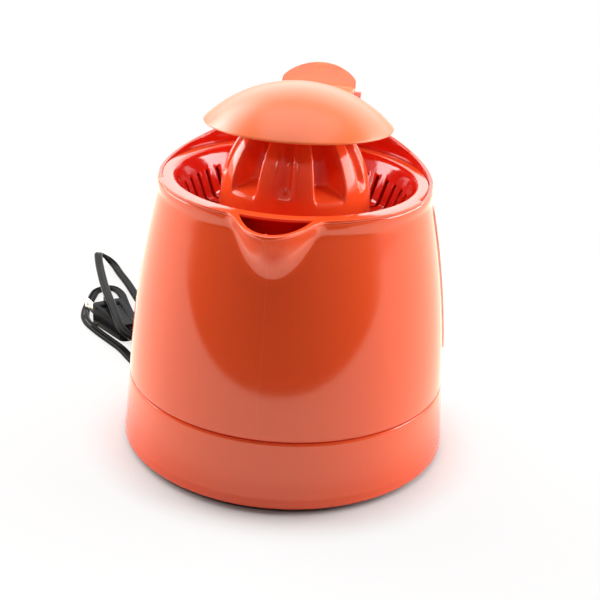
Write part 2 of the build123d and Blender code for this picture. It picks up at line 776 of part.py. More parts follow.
# One of the two cores, beside the middle line of the cord
def core_path(side):
    line = [Vector(*p) for p in cord_points] + [plug_tail()]
    ahead = [(b - a).normalized() for a, b in zip(line, line[1:])]
    ahead = [ahead[0]] + [(a + b).normalized() for a, b in zip(ahead, ahead[1:])] + [ahead[-1]]
    across = [Vector(d.Y, -d.X, 0).normalized() for d in ahead]
    points = [p + a * (side * core_spacing / 2) for p, a in zip(line, across)]
    radii = []
    for before, here, after in zip(points, points[1:], points[2:]):
        shorter = min((here - before).length, (after - here).length)
        turn = (here - before).get_angle(after - here)
        radii.append(0.45 * shorter / math.tan(math.radians(turn / 2)))
    return FilletPolyline(*points, radius=radii)


# Flat two-core cord
def power_cord():
    cores = []
    for side in (-1, 1):
        path = core_path(side)
        section = Plane(path @ 0, z_dir=path % 0) * Circle(core_diameter / 2)
        cores.append(sweep(section, path))
    return cores


def plug_blade_pair():
    blade = Pos(plug_length / 2 - blade_embed, 0, 0) * Box(
        blade_length + blade_embed, blade_thickness, blade_width,
        align=(Align.MIN, Align.CENTER, Align.CENTER))
    eye = Rot(90, 0, 0) * Cylinder(blade_hole, 4 * blade_thickness)
    blade -= Pos(plug_length / 2 + 0.75 * blade_length, 0, 0) * eye
    return [plug_frame() * Pos(0, side * blade_spacing / 2, 0) * blade for side in (-1, 1)]


def plug_body():
    half = plug_length / 2
    outline = make_face(Polyline(
        (-half, -plug_tail_width / 2), (half, -plug_width / 2), (half, plug_width / 2),
        (-half, plug_tail_width / 2), close=True))
    outline = fillet(outline.vertices(), 0.2 * plug_tail_width)
    body = extrude(Pos(0, 0, -plug_thickness / 2) * outline, plug_thickness)
    rims = body.edges().group_by(Axis.Z)
    body = fillet(rims[0] + rims[-1], 0.2 * plug_thickness)
    boot = Pos(-half - plug_boot, 0, 0) * Rot(0, 90, 0) * Cylinder(
        0.75 * cord_width, plug_boot + half / 2, align=(Align.CENTER, Align.CENTER, Align.MIN))
    body = plug_frame() * (body + boot)
    for blade in plug_blade_pair():
        body -= blade
    return body


jug_body, level_window = jug_and_window()
nodes = {
    "base_housing": base_housing(), "base_plate": base_plate(), "foot_ring": foot_ring(),
    "base_screws": base_screws(), "gear_plate": gear_plate(), "gear_plate_screws": gear_plate_screws(),
    "plate_bush": plate_bush(), "motor_can": motor_can(), "motor_coil": motor_coil(),
    "idler_axle": idler_axle(), "tower_bush": tower_bush(), "spindle_seal": spindle_seal(),
    "microswitch": microswitch(),
    "switch_button": switch_button(), "terminal_block": terminal_block(), "cord_grommet": cord_grommet(),
    "power_cord": power_cord(), "plug_body": plug_body(), "plug_blades": plug_blade_pair(),
    "rotor": rotor(), "rotor_shaft": rotor_shaft(), "idler_gear": idler_gear(), "output_gear": output_gear(),
    "return_spring": return_spring(), "spindle": spindle(), "spindle_clip": spindle_clip(),
    "jug": jug_body, "level_window": level_window, "strainer": strainer(), "hinge_pin": hinge_pin(),
    "glide_ring": glide_ring(), "reamer": reamer(), "drive_insert": drive_insert(), "lid": lid(),
}

os.makedirs("parts", exist_ok=True)
for name, shape in nodes.items():
    solids = shape if isinstance(shape, list) else [shape]
    export_step(Compound(children=[s for part in solids for s in part.solids()]), f"parts/{name}.step")
    print(name, round(sum(s.volume for s in solids) / 1000, 2), "cm3")
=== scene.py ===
import bpy
import math
from math import radians
from mathutils import Matrix, Vector


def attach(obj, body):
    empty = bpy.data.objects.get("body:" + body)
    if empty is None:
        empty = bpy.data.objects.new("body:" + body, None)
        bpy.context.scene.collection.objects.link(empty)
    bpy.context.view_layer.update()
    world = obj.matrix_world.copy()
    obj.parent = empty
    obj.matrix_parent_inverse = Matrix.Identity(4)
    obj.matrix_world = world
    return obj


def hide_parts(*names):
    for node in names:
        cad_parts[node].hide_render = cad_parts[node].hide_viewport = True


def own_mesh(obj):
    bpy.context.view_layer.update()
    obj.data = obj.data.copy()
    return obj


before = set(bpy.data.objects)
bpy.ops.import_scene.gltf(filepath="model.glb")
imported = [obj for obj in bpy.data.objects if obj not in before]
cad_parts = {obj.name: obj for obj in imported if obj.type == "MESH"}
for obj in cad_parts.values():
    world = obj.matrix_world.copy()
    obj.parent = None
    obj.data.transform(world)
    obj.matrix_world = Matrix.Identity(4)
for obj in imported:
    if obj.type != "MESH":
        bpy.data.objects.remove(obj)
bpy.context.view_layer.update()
scene = bpy.context.scene
mm = 0.001
print("frame loaded with", len(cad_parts), "nodes")


def active():
    return bpy.context.object


def enter(mode):
    bpy.ops.object.mode_set(mode=mode)


def clearSelection():
    if active() and active().mode != "OBJECT":
        enter("OBJECT")
    bpy.ops.object.select_all(action="DESELECT")


def choose(piece, *others):  # the piece becomes the active one, with others selected beside it
    clearSelection()
    for one in (piece, *others):
        one.select_set(True)
    bpy.context.view_layer.objects.active = piece


def join(piece, *others):
    choose(piece, *others)
    bpy.ops.object.join()


def selectAll():
    bpy.ops.mesh.select_all(action="SELECT")


def push(step):  # extrudes the selection by a step in metres
    bpy.ops.mesh.extrude_region_move(TRANSFORM_OT_translate={"value": step})


def drawLine(name, points, close=False, fill=False):  # a plane merged to one corner and extruded from point to point
    clearSelection()
    bpy.ops.mesh.primitive_plane_add(size=0.01)
    piece = active()
    piece.name = piece.data.name = name
    enter("EDIT")
    bpy.ops.mesh.select_mode(type="VERT")
    selectAll()
    bpy.ops.mesh.merge(type="CENTER")
    bpy.ops.transform.translate(value=Vector(points[0]) * mm)
    for here, there in zip(points, points[1:]):
        push((Vector(there) - Vector(here)) * mm)
    if fill:
        selectAll()
        bpy.ops.mesh.edge_face_add()
    elif close:
        enter("OBJECT")
        piece.data.vertices[0].select = True
        enter("EDIT")
        bpy.ops.mesh.edge_face_add()
    return piece


def tidyMesh(gap=0.00001):  # doubles merged and normals turned out, from edit mode to object mode
    selectAll()
    bpy.ops.mesh.remove_doubles(threshold=gap)
    bpy.ops.mesh.normals_make_consistent(inside=False)
    enter("OBJECT")


def mend(piece):  # the same for a piece in object mode
    choose(piece)
    enter("EDIT")
    tidyMesh()


def spinRound(name, profile, steps, close=True):  # (radius, height) pairs in mm, spun about the drive axis
    piece = drawLine(name, [(r, 0, z) for r, z in profile], close=close)
    selectAll()
    bpy.ops.mesh.spin(steps=steps, angle=math.tau, center=(0, 0, 0), axis=(0, 0, 1))
    tidyMesh()
    return piece


def prism(name, outline, start, length, slices=1):  # (y, z) outline in mm, filled and pushed along +X
    piece = drawLine(name, [(start, y, z) for y, z in outline], fill=True)
    for _ in range(slices):
        push((length / slices * mm, 0, 0))
    tidyMesh()
    return piece


def block(place, size):  # box by its middle and its size in mm
    clearSelection()
    bpy.ops.mesh.primitive_cube_add(size=1, location=[c * mm for c in place], scale=[c * mm for c in size])
    bake(active())
    return active()


def twoBlocks(place, size):  # one on each side
    return [block((side * place[0], *place[1:]), size) for side in (1, -1)]


def arc(y, z, radius, degrees):
    return [(y + radius * math.cos(radians(a)), z + radius * math.sin(radians(a))) for a in degrees]


def pick(piece, test, kind="VERT"):  # selects by a test, and leaves the piece in edit mode
    choose(piece)
    enter("EDIT")
    bpy.ops.mesh.select_mode(type=kind)
    bpy.ops.mesh.select_all(action="DESELECT")
    enter("OBJECT")
    items = {"VERT": piece.data.vertices, "FACE": piece.data.polygons, "EDGE": piece.data.edges}[kind]
    for item in items:
        item.select = test(item)
    enter("EDIT")


def addModifier(piece, kind, **values):
    choose(piece)
    modifier = piece.modifiers.new(kind.lower(), kind)
    for key, value in values.items():
        setattr(modifier, key, value)
    bpy.ops.object.modifier_apply(modifier=modifier.name)


def soften(piece, width, segments, angle, **values):  # bevel in mm on edges sharper than the angle
    addModifier(piece, "BEVEL", width=width * mm, segments=segments, limit_method="ANGLE",
                angle_limit=radians(angle), **values)


def cutAway(piece, tool):  # the tool is thrown away
    addModifier(piece, "BOOLEAN", object=tool, operation="DIFFERENCE", solver="EXACT")
    bpy.data.objects.remove(tool)


def bake(piece):  # place, turn and scale go into the mesh
    choose(piece)
    bpy.ops.object.transform_apply(location=True, rotation=True, scale=True)


def turnBy(piece, x=0, y=0, z=0, to=(0, 0, 0)):  # degrees and a place in mm, baked in
    piece.rotation_euler = (radians(x), radians(y), radians(z))
    piece.location = [c * mm for c in to]
    bake(piece)


def settle(piece, look, body, node, angle):  # shading, material, body and the node it replaces
    choose(piece)
    bpy.ops.object.shade_smooth_by_angle(angle=radians(angle))
    piece.data.materials.clear()
    piece.data.materials.append(looks[look])
    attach(piece, body)
    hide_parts(node)
    print("made", piece.name, len(piece.data.polygons), "faces")


def shade(piece, look, test):  # painted shade: a darker second material on the faces that pass the test
    piece.data.materials.append(looks[look])
    for face in piece.data.polygons:
        if test(face):
            face.material_index = 1


def polar(co):  # radius and azimuth in degrees, 0 at the beak and positive towards the right
    return math.hypot(co.x, co.y), math.degrees(math.atan2(co.x, -co.y))


def setPolar(vertex, radius, azimuth):
    vertex.co.x = radius * math.sin(radians(azimuth))
    vertex.co.y = -radius * math.cos(radians(azimuth))


def eased(share):
    share = min(1.0, max(0.0, share))
    return share * share * (3 - 2 * share)


# camera at the photograph's angle
cameraSet = {"place": (0.070335, -0.569199, 0.323968), "back": (0.103924, -0.912131, 0.396507),
             "roll": 3.2, "lens": 72.0, "sensor": 36.0}


def makeCamera(c):
    clearSelection()
    bpy.ops.object.camera_add()
    camera = active()
    camera.name = "photoCamera"
    camera.data.lens = c["lens"]
    camera.data.sensor_width = c["sensor"]
    back = Vector(c["back"]).normalized()
    side = Vector((0, 0, 1)).cross(back).normalized()
    side = Matrix.Rotation(radians(c["roll"]), 3, back) @ side
    turn = Matrix((side, back.cross(side), back)).transposed().to_4x4()
    camera.matrix_world = Matrix.Translation(c["place"]) @ turn
    scene.camera = camera
    print("camera set")


makeCamera(cameraSet)


# shader nodes
def addNode(tree, kind, **values):  # values go to inputs of that name, or else to the node
    node = tree.nodes.new(kind)
    for key, value in values.items():
        label = key.replace("_", " ")
        if label in node.inputs:
            node.inputs[label].default_value = value
        else:
            setattr(node, key, value)
    return node


def feed(tree, socket, value):  # a link or a plain value
    if isinstance(value, bpy.types.NodeSocket):
        tree.links.new(value, socket)
    else:
        socket.default_value = value


def mathNode(tree, operation, first, second=0.0, third=None, clamp=False):
    node = addNode(tree, "ShaderNodeMath", operation=operation, use_clamp=clamp)
    for socket, value in zip(node.inputs, (first, second, third)):
        if value is not None:
            feed(tree, socket, value)
    return node.outputs[0]


def mixColour(tree, fac, first, second):
    node = addNode(tree, "ShaderNodeMix", data_type="RGBA")
    for index, value in ((0, fac), (6, first), (7, second)):  # the sockets for colours
        feed(tree, node.inputs[index], value)
    return node.outputs[2]


def noise(tree, vector, scale, detail=2.0, roughness=0.5):
    node = addNode(tree, "ShaderNodeTexNoise", Detail=detail, Roughness=roughness)
    feed(tree, node.inputs["Vector"], vector)
    feed(tree, node.inputs["Scale"], scale)
    return node.outputs["Fac"]


def streaks(tree, place, scale, detail, roughness):  # noise drawn out along one direction
    stretch = addNode(tree, "ShaderNodeMapping", Scale=scale)
    feed(tree, stretch.inputs["Vector"], place)
    return noise(tree, stretch.outputs[0], 1.0, detail, roughness)


def objectPlace(tree):
    return tree.nodes.new("ShaderNodeTexCoord").outputs["Object"]


def splitPlace(tree):
    split = tree.nodes.new("ShaderNodeSeparateXYZ")
    feed(tree, split.inputs[0], objectPlace(tree))
    return split.outputs


# finish groups: colour, roughness and height that change over the surface
def openGroup(name, *numbers):
    group = bpy.data.node_groups.new(name, "ShaderNodeTree")
    colours = ("Colour", "Second")
    sockets = [(label, "INPUT") for label in (*colours, *numbers, "Gloss", "Dull")]
    sockets += [(label, "OUTPUT") for label in ("Colour", "Roughness", "Height")]
    for label, side in sockets:
        kind = "NodeSocketColor" if label in colours else "NodeSocketFloat"
        group.interface.new_socket(label, in_out=side, socket_type=kind)
    return group, group.nodes.new("NodeGroupInput").outputs


def closeGroup(group, start, blend, wear, height):
    end = group.nodes.new("NodeGroupOutput").inputs
    span = mathNode(group, "SUBTRACT", start["Dull"], start["Gloss"])
    feed(group, end["Colour"], mixColour(group, blend, start["Colour"], start["Second"]))
    feed(group, end["Roughness"], mathNode(group, "MULTIPLY_ADD", span, wear, start["Gloss"]))
    feed(group, end["Height"], height)
    return group


mouldSet = {"drift": 14.0, "scuff": (900.0, 900.0, 40.0), "scuffFrom": 0.62, "scuffGain": 5.0, "scuffSoft": 0.1,
            "scuffWear": 0.35, "driftWear": 0.6, "peelHeight": 0.6, "driftHeight": 2.0}
metalSet = {"marks": (300.0, 300.0, 3000.0), "spots": 120.0}


def makeMouldFinish(m):  # slow drift of the colour, fine orange peel, hairline scuffs
    group, start = openGroup("mouldFinish", "Peel")
    place = objectPlace(group)
    drift = noise(group, place, m["drift"], detail=3.0)
    peel = noise(group, place, start["Peel"])
    scuff = streaks(group, place, m["scuff"], detail=4.0, roughness=0.7)
    scuff = mathNode(group, "SUBTRACT", scuff, m["scuffFrom"], clamp=True)
    scuff = mathNode(group, "SMOOTH_MIN", mathNode(group, "MULTIPLY", scuff, m["scuffGain"]), 1.0, m["scuffSoft"])
    wear = mathNode(group, "MULTIPLY_ADD", scuff, m["scuffWear"], mathNode(group, "MULTIPLY", drift, m["driftWear"]))
    slow = mathNode(group, "MULTIPLY", drift, m["driftHeight"])
    return closeGroup(group, start, drift, wear, mathNode(group, "MULTIPLY_ADD", peel, m["peelHeight"], slow))


def makeMetalFinish(m):  # brushed or drawn marks along one direction and faint tarnish
    group, start = openGroup("metalFinish")
    place = objectPlace(group)
    marks = streaks(group, place, m["marks"], detail=3.0, roughness=0.6)
    spots = noise(group, place, m["spots"], detail=4.0, roughness=0.65)
    return closeGroup(group, start, spots, marks, marks)


# materials
mouldTable = {  # colour, second colour, peel, gloss, dull, bump, values of the shader
    "orangeShell": ((0.87, 0.088, 0.020), (0.82, 0.076, 0.016), 240.0, 0.08, 0.16, 0.04, {"IOR": 1.53}),
    # painted shade: a deeper copy of the same orange, for faces inside the jug and under the strainer flange
    "orangePaintedShade": ((0.76, 0.020, 0.005), (0.70, 0.017, 0.004), 240.0, 0.08, 0.16, 0.04, {"IOR": 1.53}),
    # painted light: a brighter copy of the same orange, for the reamer that the lid shades
    "orangeConePaintedLight": ((0.92, 0.090, 0.020), (0.87, 0.078, 0.017), 240.0, 0.11, 0.18, 0.04, {"IOR": 1.34}),
    # painted light: a paler copy of the same orange, for the top-lit lid
    "orangeLidPaintedLight": ((0.88, 0.145, 0.026), (0.83, 0.128, 0.021), 240.0, 0.27, 0.38, 0.04, {"IOR": 1.48}),
    "clearOrange": ((0.97, 0.66, 0.52), (0.94, 0.60, 0.46), 200.0, 0.06, 0.14, 0.03,
                    {"IOR": 1.49, "Transmission Weight": 0.3}),
    "whitePlastic": ((0.80, 0.79, 0.75), (0.73, 0.72, 0.68), 300.0, 0.28, 0.42, 0.08, {}),
    "blackPlastic": ((0.008, 0.008, 0.009), (0.013, 0.013, 0.014), 700.0, 0.16, 0.30, 0.12,
                     {"IOR": 1.22, "Specular IOR Level": 0.08}),
    "cordBlack": ((0.007, 0.007, 0.008), (0.012, 0.012, 0.012), 900.0, 0.12, 0.24, 0.06,
                  {"IOR": 1.22, "Specular IOR Level": 0.07}),
    "blackRubber": ((0.016, 0.016, 0.016), (0.026, 0.026, 0.025), 1200.0, 0.55, 0.75, 0.3, {}),
    "ferrite": ((0.045, 0.044, 0.046), (0.075, 0.074, 0.074), 1500.0, 0.45, 0.7, 0.3, {}),
}
mouldTable["orangeJug"] = mouldTable["orangeShell"]
metalTable = {  # colour, tarnish, gloss, dull
    "steel": ((0.62, 0.63, 0.64), (0.50, 0.50, 0.50), 0.16, 0.38),
    "plated": ((0.84, 0.83, 0.78), (0.72, 0.71, 0.66), 0.12, 0.28),
    "bronze": ((0.52, 0.33, 0.15), (0.38, 0.23, 0.11), 0.3, 0.55),
    "copper": ((0.72, 0.30, 0.14), (0.50, 0.19, 0.09), 0.2, 0.4),
}
metalBump = 0.05
reliefDepth = 0.2 * mm


def finishMaterial(name, group, values, bump, shader):
    material = bpy.data.materials.new(name)
    material.use_nodes = True
    tree = material.node_tree
    principled = tree.nodes["Principled BSDF"].inputs
    finish = addNode(tree, "ShaderNodeGroup", node_tree=group)
    for key, value in values.items():
        finish.inputs[key].default_value = value
    relief = addNode(tree, "ShaderNodeBump", Strength=bump, Distance=reliefDepth)
    feed(tree, relief.inputs["Height"], finish.outputs["Height"])
    feed(tree, principled["Base Color"], finish.outputs["Colour"])
    feed(tree, principled["Roughness"], finish.outputs["Roughness"])
    feed(tree, principled["Normal"], relief.outputs["Normal"])
    for key, value in shader.items():
        principled[key].default_value = value
    return material


partingSet = {"turn": 1.5, "half": 0.0003, "front": -0.06, "bump": 0.15, "share": 0.12, "tone": (0.95, 0.30, 0.16, 1)}


def addPartingLine(material, p):  # faint mould line down the middle plane of the jug
    tree = material.node_tree
    principled = tree.nodes["Principled BSDF"].inputs
    split = splitPlace(tree)
    across = mathNode(tree, "MULTIPLY_ADD", split["Y"], -math.tan(radians(p["turn"])), split["X"])
    across = mathNode(tree, "DIVIDE", mathNode(tree, "ABSOLUTE", across), p["half"])
    ridge = mathNode(tree, "SUBTRACT", 1.0, across, clamp=True)
    ridge = mathNode(tree, "MULTIPLY", ridge, mathNode(tree, "LESS_THAN", split["Y"], p["front"]))
    line = addNode(tree, "ShaderNodeBump", Strength=p["bump"], Distance=reliefDepth)
    feed(tree, line.inputs["Height"], ridge)
    feed(tree, line.inputs["Normal"], tree.nodes["Bump"].outputs["Normal"])
    feed(tree, principled["Normal"], line.outputs["Normal"])
    share = mathNode(tree, "MULTIPLY", ridge, p["share"])
    feed(tree, principled["Base Color"], mixColour(tree, share, tree.nodes["Group"].outputs["Colour"], p["tone"]))


looks = {}
mouldFinish = makeMouldFinish(mouldSet)
metalFinish = makeMetalFinish(metalSet)
for name, (colour, second, peel, gloss, dull, bump, shader) in mouldTable.items():
    values = {"Colour": (*colour, 1), "Second": (*second, 1), "Peel": peel, "Gloss": gloss, "Dull": dull}
    looks[name] = finishMaterial(name, mouldFinish, values, bump, shader)
for name, (colour, tarnish, gloss, dull) in metalTable.items():
    values = {"Colour": (*colour, 1), "Second": (*tarnish, 1), "Gloss": gloss, "Dull": dull}
    looks[name] = finishMaterial(name, metalFinish, values, metalBump, {"Metallic": 1.0})
addPartingLine(looks["orangeJug"], partingSet)
print("materials made:", len(looks))


# flat twin cord: one spline through the route, swept with a figure-eight profile
cordSet = {
    "coreRadius": 1.4, "coreOffset": 1.45, "width": 0.0057, "lying": 0.0016,
    "route": [  # points with no height lie on the floor
        (0.0, 0.111337, 0.0122), (0.0, 0.122, 0.0122), (-0.004, 0.135, 0.0085), (-0.014, 0.146, 0.004),
        (-0.029, 0.15), (-0.044, 0.1435), (-0.055, 0.13, 0.0022), (-0.065, 0.114, 0.0042), (-0.077, 0.099, 0.0054),
        (-0.0875, 0.084, 0.0064), (-0.095, 0.0715, 0.0096), (-0.1025, 0.0655, 0.0124), (-0.11, 0.0705, 0.015),
        (-0.1155, 0.0815, 0.0158), (-0.1215, 0.095, 0.0158), (-0.1295, 0.112, 0.0156), (-0.139, 0.134, 0.0142),
        (-0.148, 0.157, 0.0134), (-0.154, 0.173, 0.0128), (-0.1592, 0.188, 0.0118), (-0.1621, 0.1975, 0.0109),
        (-0.1588, 0.204, 0.0062), (-0.152, 0.2025), (-0.1445, 0.1885), (-0.1345, 0.173), (-0.1235, 0.153),
        (-0.112, 0.1325), (-0.099, 0.115), (-0.086, 0.1), (-0.0745, 0.0845), (-0.0685, 0.069), (-0.0725, 0.055),
        (-0.083, 0.048), (-0.095, 0.0515), (-0.103, 0.0615), (-0.11, 0.071), (-0.12, 0.0805), (-0.132, 0.092),
        (-0.143, 0.1045), (-0.1475, 0.118), (-0.149, 0.132), (-0.15, 0.144), (-0.1505, 0.154), (-0.142, 0.162),
        (-0.1333, 0.1538), (-0.127, 0.1395), (-0.1205, 0.1255), (-0.1125, 0.1115), (-0.1025, 0.1005),
        (-0.092, 0.091), (-0.0835, 0.081), (-0.0798, 0.0705), (-0.0845, 0.062, 0.002), (-0.093, 0.0628, 0.0036),
        (-0.0988, 0.0741, 0.0066), (-0.104573, 0.081015, 0.0066)],
}


def makeCurve(name, points, outline=False):  # a smooth spline in space, or a closed flat outline for a sweep
    curve = bpy.data.curves.new(name, "CURVE")
    curve.dimensions = "2D" if outline else "3D"
    curve.use_fill_caps = not outline
    spline = curve.splines.new("POLY" if outline else "NURBS")
    spline.points.add(len(points) - 1)
    for point, place in zip(spline.points, points):
        point.co = (*place, 1.0)
    spline.use_cyclic_u = outline
    if not outline:
        spline.order_u = 3
        spline.use_endpoint_u = True
        spline.resolution_u = 10
    piece = bpy.data.objects.new(name, curve)
    scene.collection.objects.link(piece)
    return piece


def toMesh(piece):
    choose(piece)
    bpy.ops.object.convert(target="MESH")
    mend(active())
    return active()


def makeCord(c):
    piece = makeCurve("powerCord", [p if len(p) == 3 else (*p, c["lying"]) for p in c["route"]])
    path = [tuple(v.co) for v in bpy.data.meshes.new_from_object(piece).vertices]
    r, d = c["coreRadius"] * mm, c["coreOffset"] * mm
    turns = [radians(-140 + 35 * i) for i in range(9)]
    lobes = [(side * (d + r * math.cos(a)), side * r * math.sin(a), 0) for side in (1, -1) for a in turns]
    profile = makeCurve("cordProfile", lobes, outline=True)
    piece.data.bevel_mode = "OBJECT"
    piece.data.bevel_object = profile
    piece.data.twist_mode = "Z_UP"
    piece = toMesh(piece)
    bpy.data.objects.remove(profile)
    settle(piece, "cordBlack", "base", "power_cord", angle=60)
    return piece, path


powerCord, cordPath = makeCord(cordSet)


# strain relief: a tapered boot with ring grooves
bootSet = {"wallFace": 85.34, "flange": 6.6, "root": 5.0, "end": 3.8, "length": 26.0, "height": 12.2, "inside": 80.3,
           "clip": 1.6, "rings": 5, "ringDepth": 0.55, "ringsFrom": 4.0, "ringsTo": 2.0}


def makeBoot(b):
    face, flange, clip, tip = b["wallFace"], b["flange"], b["inside"] + b["clip"], b["wallFace"] + b["length"]
    profile = [(0, b["inside"]), (flange, b["inside"]), (flange, clip), (b["root"], clip), (b["root"], face),
               (flange - 0.4, face), (flange, face + 0.4), (flange, face + 1.2), (flange - 0.5, face + 1.7),
               (b["root"] + 0.3, face + 2.4)]
    low, high = face + b["ringsFrom"], tip - b["ringsTo"]
    for i in range(b["rings"]):
        first, last = i / (b["rings"] - 0.5), (i + 0.5) / (b["rings"] - 0.5)
        groove = ((first, 0), (first + 0.02, 0.5), (first + 0.04, 1), (last - 0.04, 1), (last - 0.02, 0.5), (last, 0))
        for a, depth in groove:
            radius = b["root"] + (b["end"] - b["root"]) * a - b["ringDepth"] * depth
            profile.append((radius, low + (high - low) * a))
    profile += [(b["end"], high), (b["end"] - 0.1, tip - 0.5), (b["end"] - 0.6, tip), (0, tip)]
    piece = spinRound("cordBoot", profile, 40, close=False)
    turnBy(piece, x=-90, to=(0, 0, b["height"]))
    settle(piece, "blackRubber", "base", "cord_grommet", angle=50)


makeBoot(bootSet)


# two-pin plug: tapered body, sunk grip panels, round boot
plugSet = {
    "centre": (-120.0, 99.4), "turn": 130.0, "length": 38.0, "width": 21.0, "thick": 13.2, "corner": 3.5,
    "soft": 1.21, "tail": 12.0, "tailThick": 0.86, "tailInset": 1.6, "faceInset": 1.4, "faceStep": -0.5,
    "gripInset": 3.0, "gripShift": -2.2, "gripSlope": 0.9, "grip": 0.9,
    "boot": [(0, -5.0), (3.4, -5.0), (3.9, -4.6), (4.1, -3.2), (3.6, -3.0), (3.6, -2.2), (4.2, -2.0), (4.3, -0.9),
             (3.8, -0.7), (3.8, 3.0), (0, 3.0)],
}


def makePlug(p):
    piece = block((0, 0, 0), (p["length"], p["width"], p["thick"]))
    piece.name = piece.data.name = "plugBody"
    half = p["length"] / 2

    def upright(edge):
        first, last = (piece.data.vertices[i].co.z for i in edge.vertices)
        return abs(first - last) > p["thick"] / 2 * mm
    pick(piece, lambda v: v.co.x < 0)
    bpy.ops.transform.resize(value=(1, p["tail"] / p["width"], p["tailThick"]), center_override=(-half * mm, 0, 0))
    pick(piece, upright, "EDGE")
    bpy.ops.mesh.bevel(offset=p["corner"] * mm, segments=5, affect="EDGES")
    for side in (1, -1):  # sunk grip panels above and below
        pick(piece, lambda f: f.normal.z * side > 0.8, "FACE")
        bpy.ops.mesh.inset(thickness=p["gripInset"] * mm, depth=0)
        bpy.ops.transform.translate(value=(p["gripShift"] * mm, 0, 0))
        bpy.ops.mesh.inset(thickness=p["gripSlope"] * mm, depth=-p["grip"] * mm)
    pick(piece, lambda f: f.normal.x > 0.9, "FACE")  # sunk face round the pins
    bpy.ops.mesh.inset(thickness=p["faceInset"] * mm, depth=0)
    push((p["faceStep"] * mm, 0, 0))
    pick(piece, lambda f: f.normal.x < -0.9, "FACE")  # frame at the tail
    bpy.ops.mesh.inset(thickness=p["tailInset"] * mm, depth=0)
    soften(piece, p["soft"], segments=3, angle=28)
    boot = spinRound("plugBoot", [(r, z - half) for r, z in p["boot"]], 32, close=False)
    turnBy(boot, y=90)
    join(piece, boot)
    turnBy(piece, z=p["turn"], to=(*p["centre"], p["thick"] / 2))
    settle(piece, "blackPlastic", "base", "plug_body", angle=40)
    return piece


plugBody = makePlug(plugSet)


# motor base: tapered skirt, deck, drive tower
baseSet = {
    "bottom": 2.4, "top": 37.7, "foot": 85.3, "shoulder": 82.4,
    "footRound": [(-2.2, 0), (-1.25, 0.2), (-0.5, 0.75), (-0.1, 1.6)], "footInside": (-2.8, 0.4),
    "skirt": [(0, 5.2), (0, 7.4), (0.10, 8.0), (0, 8.8), (0, 12.0), (0, 17.0), (0, 22.0), (0, 27.0), (0, 32.0),
              (0, 36.2), (-0.05, 36.9)],
    "shoulderRound": [(-0.35, 37.45), (-0.9, 37.7), (-2.2, 37.7), (-2.6, 37.35), (-2.6, 35.2), (-3.1, 34.6),
                      (-3.8, 34.5)],
    "tower": [(60, 34.5), (30, 34.5), (12.6, 34.5), (11.3, 34.9), (10.9, 36.2), (9.22, 110.2), (9.0, 110.8),
              (8.5, 111.0), (6.6, 111.0), (6.6, 101.0), (5.0, 101.0), (5.0, 48.0), (7.2, 48.0), (7.2, 32.0),
              (79.9, 32.0)],
    "keyPlace": (78, 0, 35.4), "keySize": (2.4, 6, 2.2), "keySoft": 0.4,
    "hole": 0.00505, "holePlace": (0, 0.084, 0.0122), "holeDepth": 0.02,
}


def makeBase(b):
    def skirt(z):
        return b["foot"] + (b["shoulder"] - b["foot"]) * (z - b["bottom"]) / (b["top"] - b["bottom"])
    profile = [(b["foot"] + r, b["bottom"] + z) for r, z in b["footRound"]]
    profile += [(skirt(z) + r, z) for r, z in b["skirt"]]
    profile += [(b["shoulder"] + r, z) for r, z in b["shoulderRound"]] + b["tower"]
    profile += [(b["foot"] + b["footInside"][0], b["bottom"] + b["footInside"][1])]
    piece = spinRound("baseShell", profile, 256)
    for key in twoBlocks(b["keyPlace"], b["keySize"]):  # keys that stop the jug from turning
        soften(key, b["keySoft"], segments=2, angle=30)
        join(piece, key)
    bpy.ops.mesh.primitive_cylinder_add(radius=b["hole"], depth=b["holeDepth"], location=b["holePlace"],
                                        rotation=(radians(90), 0, 0))
    cutAway(piece, active())  # way out for the cord
    settle(piece, "orangeShell", "base", "base_housing", angle=30)


makeBase(baseSet)


# jug: tapering wall with a belly, flared lip, beak, collar rising to the hinge, handle
hingeLine = (75.0, 165.0)  # y and z of the lid's hinge
jugSet = {
    "bottom": 38.2, "rim": 142.4, "foot": 82.4, "mouth": 66.6, "belly": 2.8, "wall": 2.4, "columns": 360,
    "lip": 68.6, "lipStart": 134.8, "lipFull": 140.0, "lipShare": 0.85,
    "beakStart": 115.4, "beakReach": 22.0, "beakRoot": 9.0, "beakHalf": 20.5, "beakWall": 1.2,
    "collarOut": 68.3, "collarIn": 66.2, "collarTop": 144.0, "collarFront": -20.6, "collarRear": 70.7,
    "collarHeight": 19.6, "collarCurve": (0.406, -0.397, 0.991),
    "outerRows": [38.9, 40.5, 44, 48, 53, 58, 63, 68, 73, 78, 83, 88, 93, 98, 103, 107, 110, 112.5],
    "lipRows": [136.2, 137.0, 137.8, 138.6, 139.4, 140.2, 141.0, 141.6],
    "innerRows": [112, 106, 100, 92, 84, 76, 68, 60, 52, 46, 43],
    "floor": [(79.2, 41.3), (78.2, 40.5), (77.0, 40.2), (50, 40.2), (16.5, 40.2), (15.2, 40.7), (14.7, 42.0),
              (13.05, 114.6), (12.7, 115.4), (12.0, 115.7), (7.9, 115.7), (7.6, 115.4), (7.6, 113.5), (10.8, 113.5),
              (12.6, 37.7), (76.5, 37.7), (76.5, 34.8), (76.8, 34.5), (79.2, 34.5), (79.5, 34.8), (79.5, 38.2)],
    "notchPlace": (78.5, 0, 35.65), "notchSize": (12, 7.2, 3.4), "insideFrom": 55.0,
}


def jugRadius(z, j=jugSet):
    share = (z - j["bottom"]) / (j["rim"] - j["bottom"])
    return j["foot"] + (j["mouth"] - j["foot"]) * share + 4 * j["belly"] * share * (1 - share)


def lipRadius(z, j=jugSet):
    flare = eased((z - j["lipStart"]) / (j["lipFull"] - j["lipStart"]))
    return jugRadius(z) + (j["lip"] - jugRadius(z)) * flare


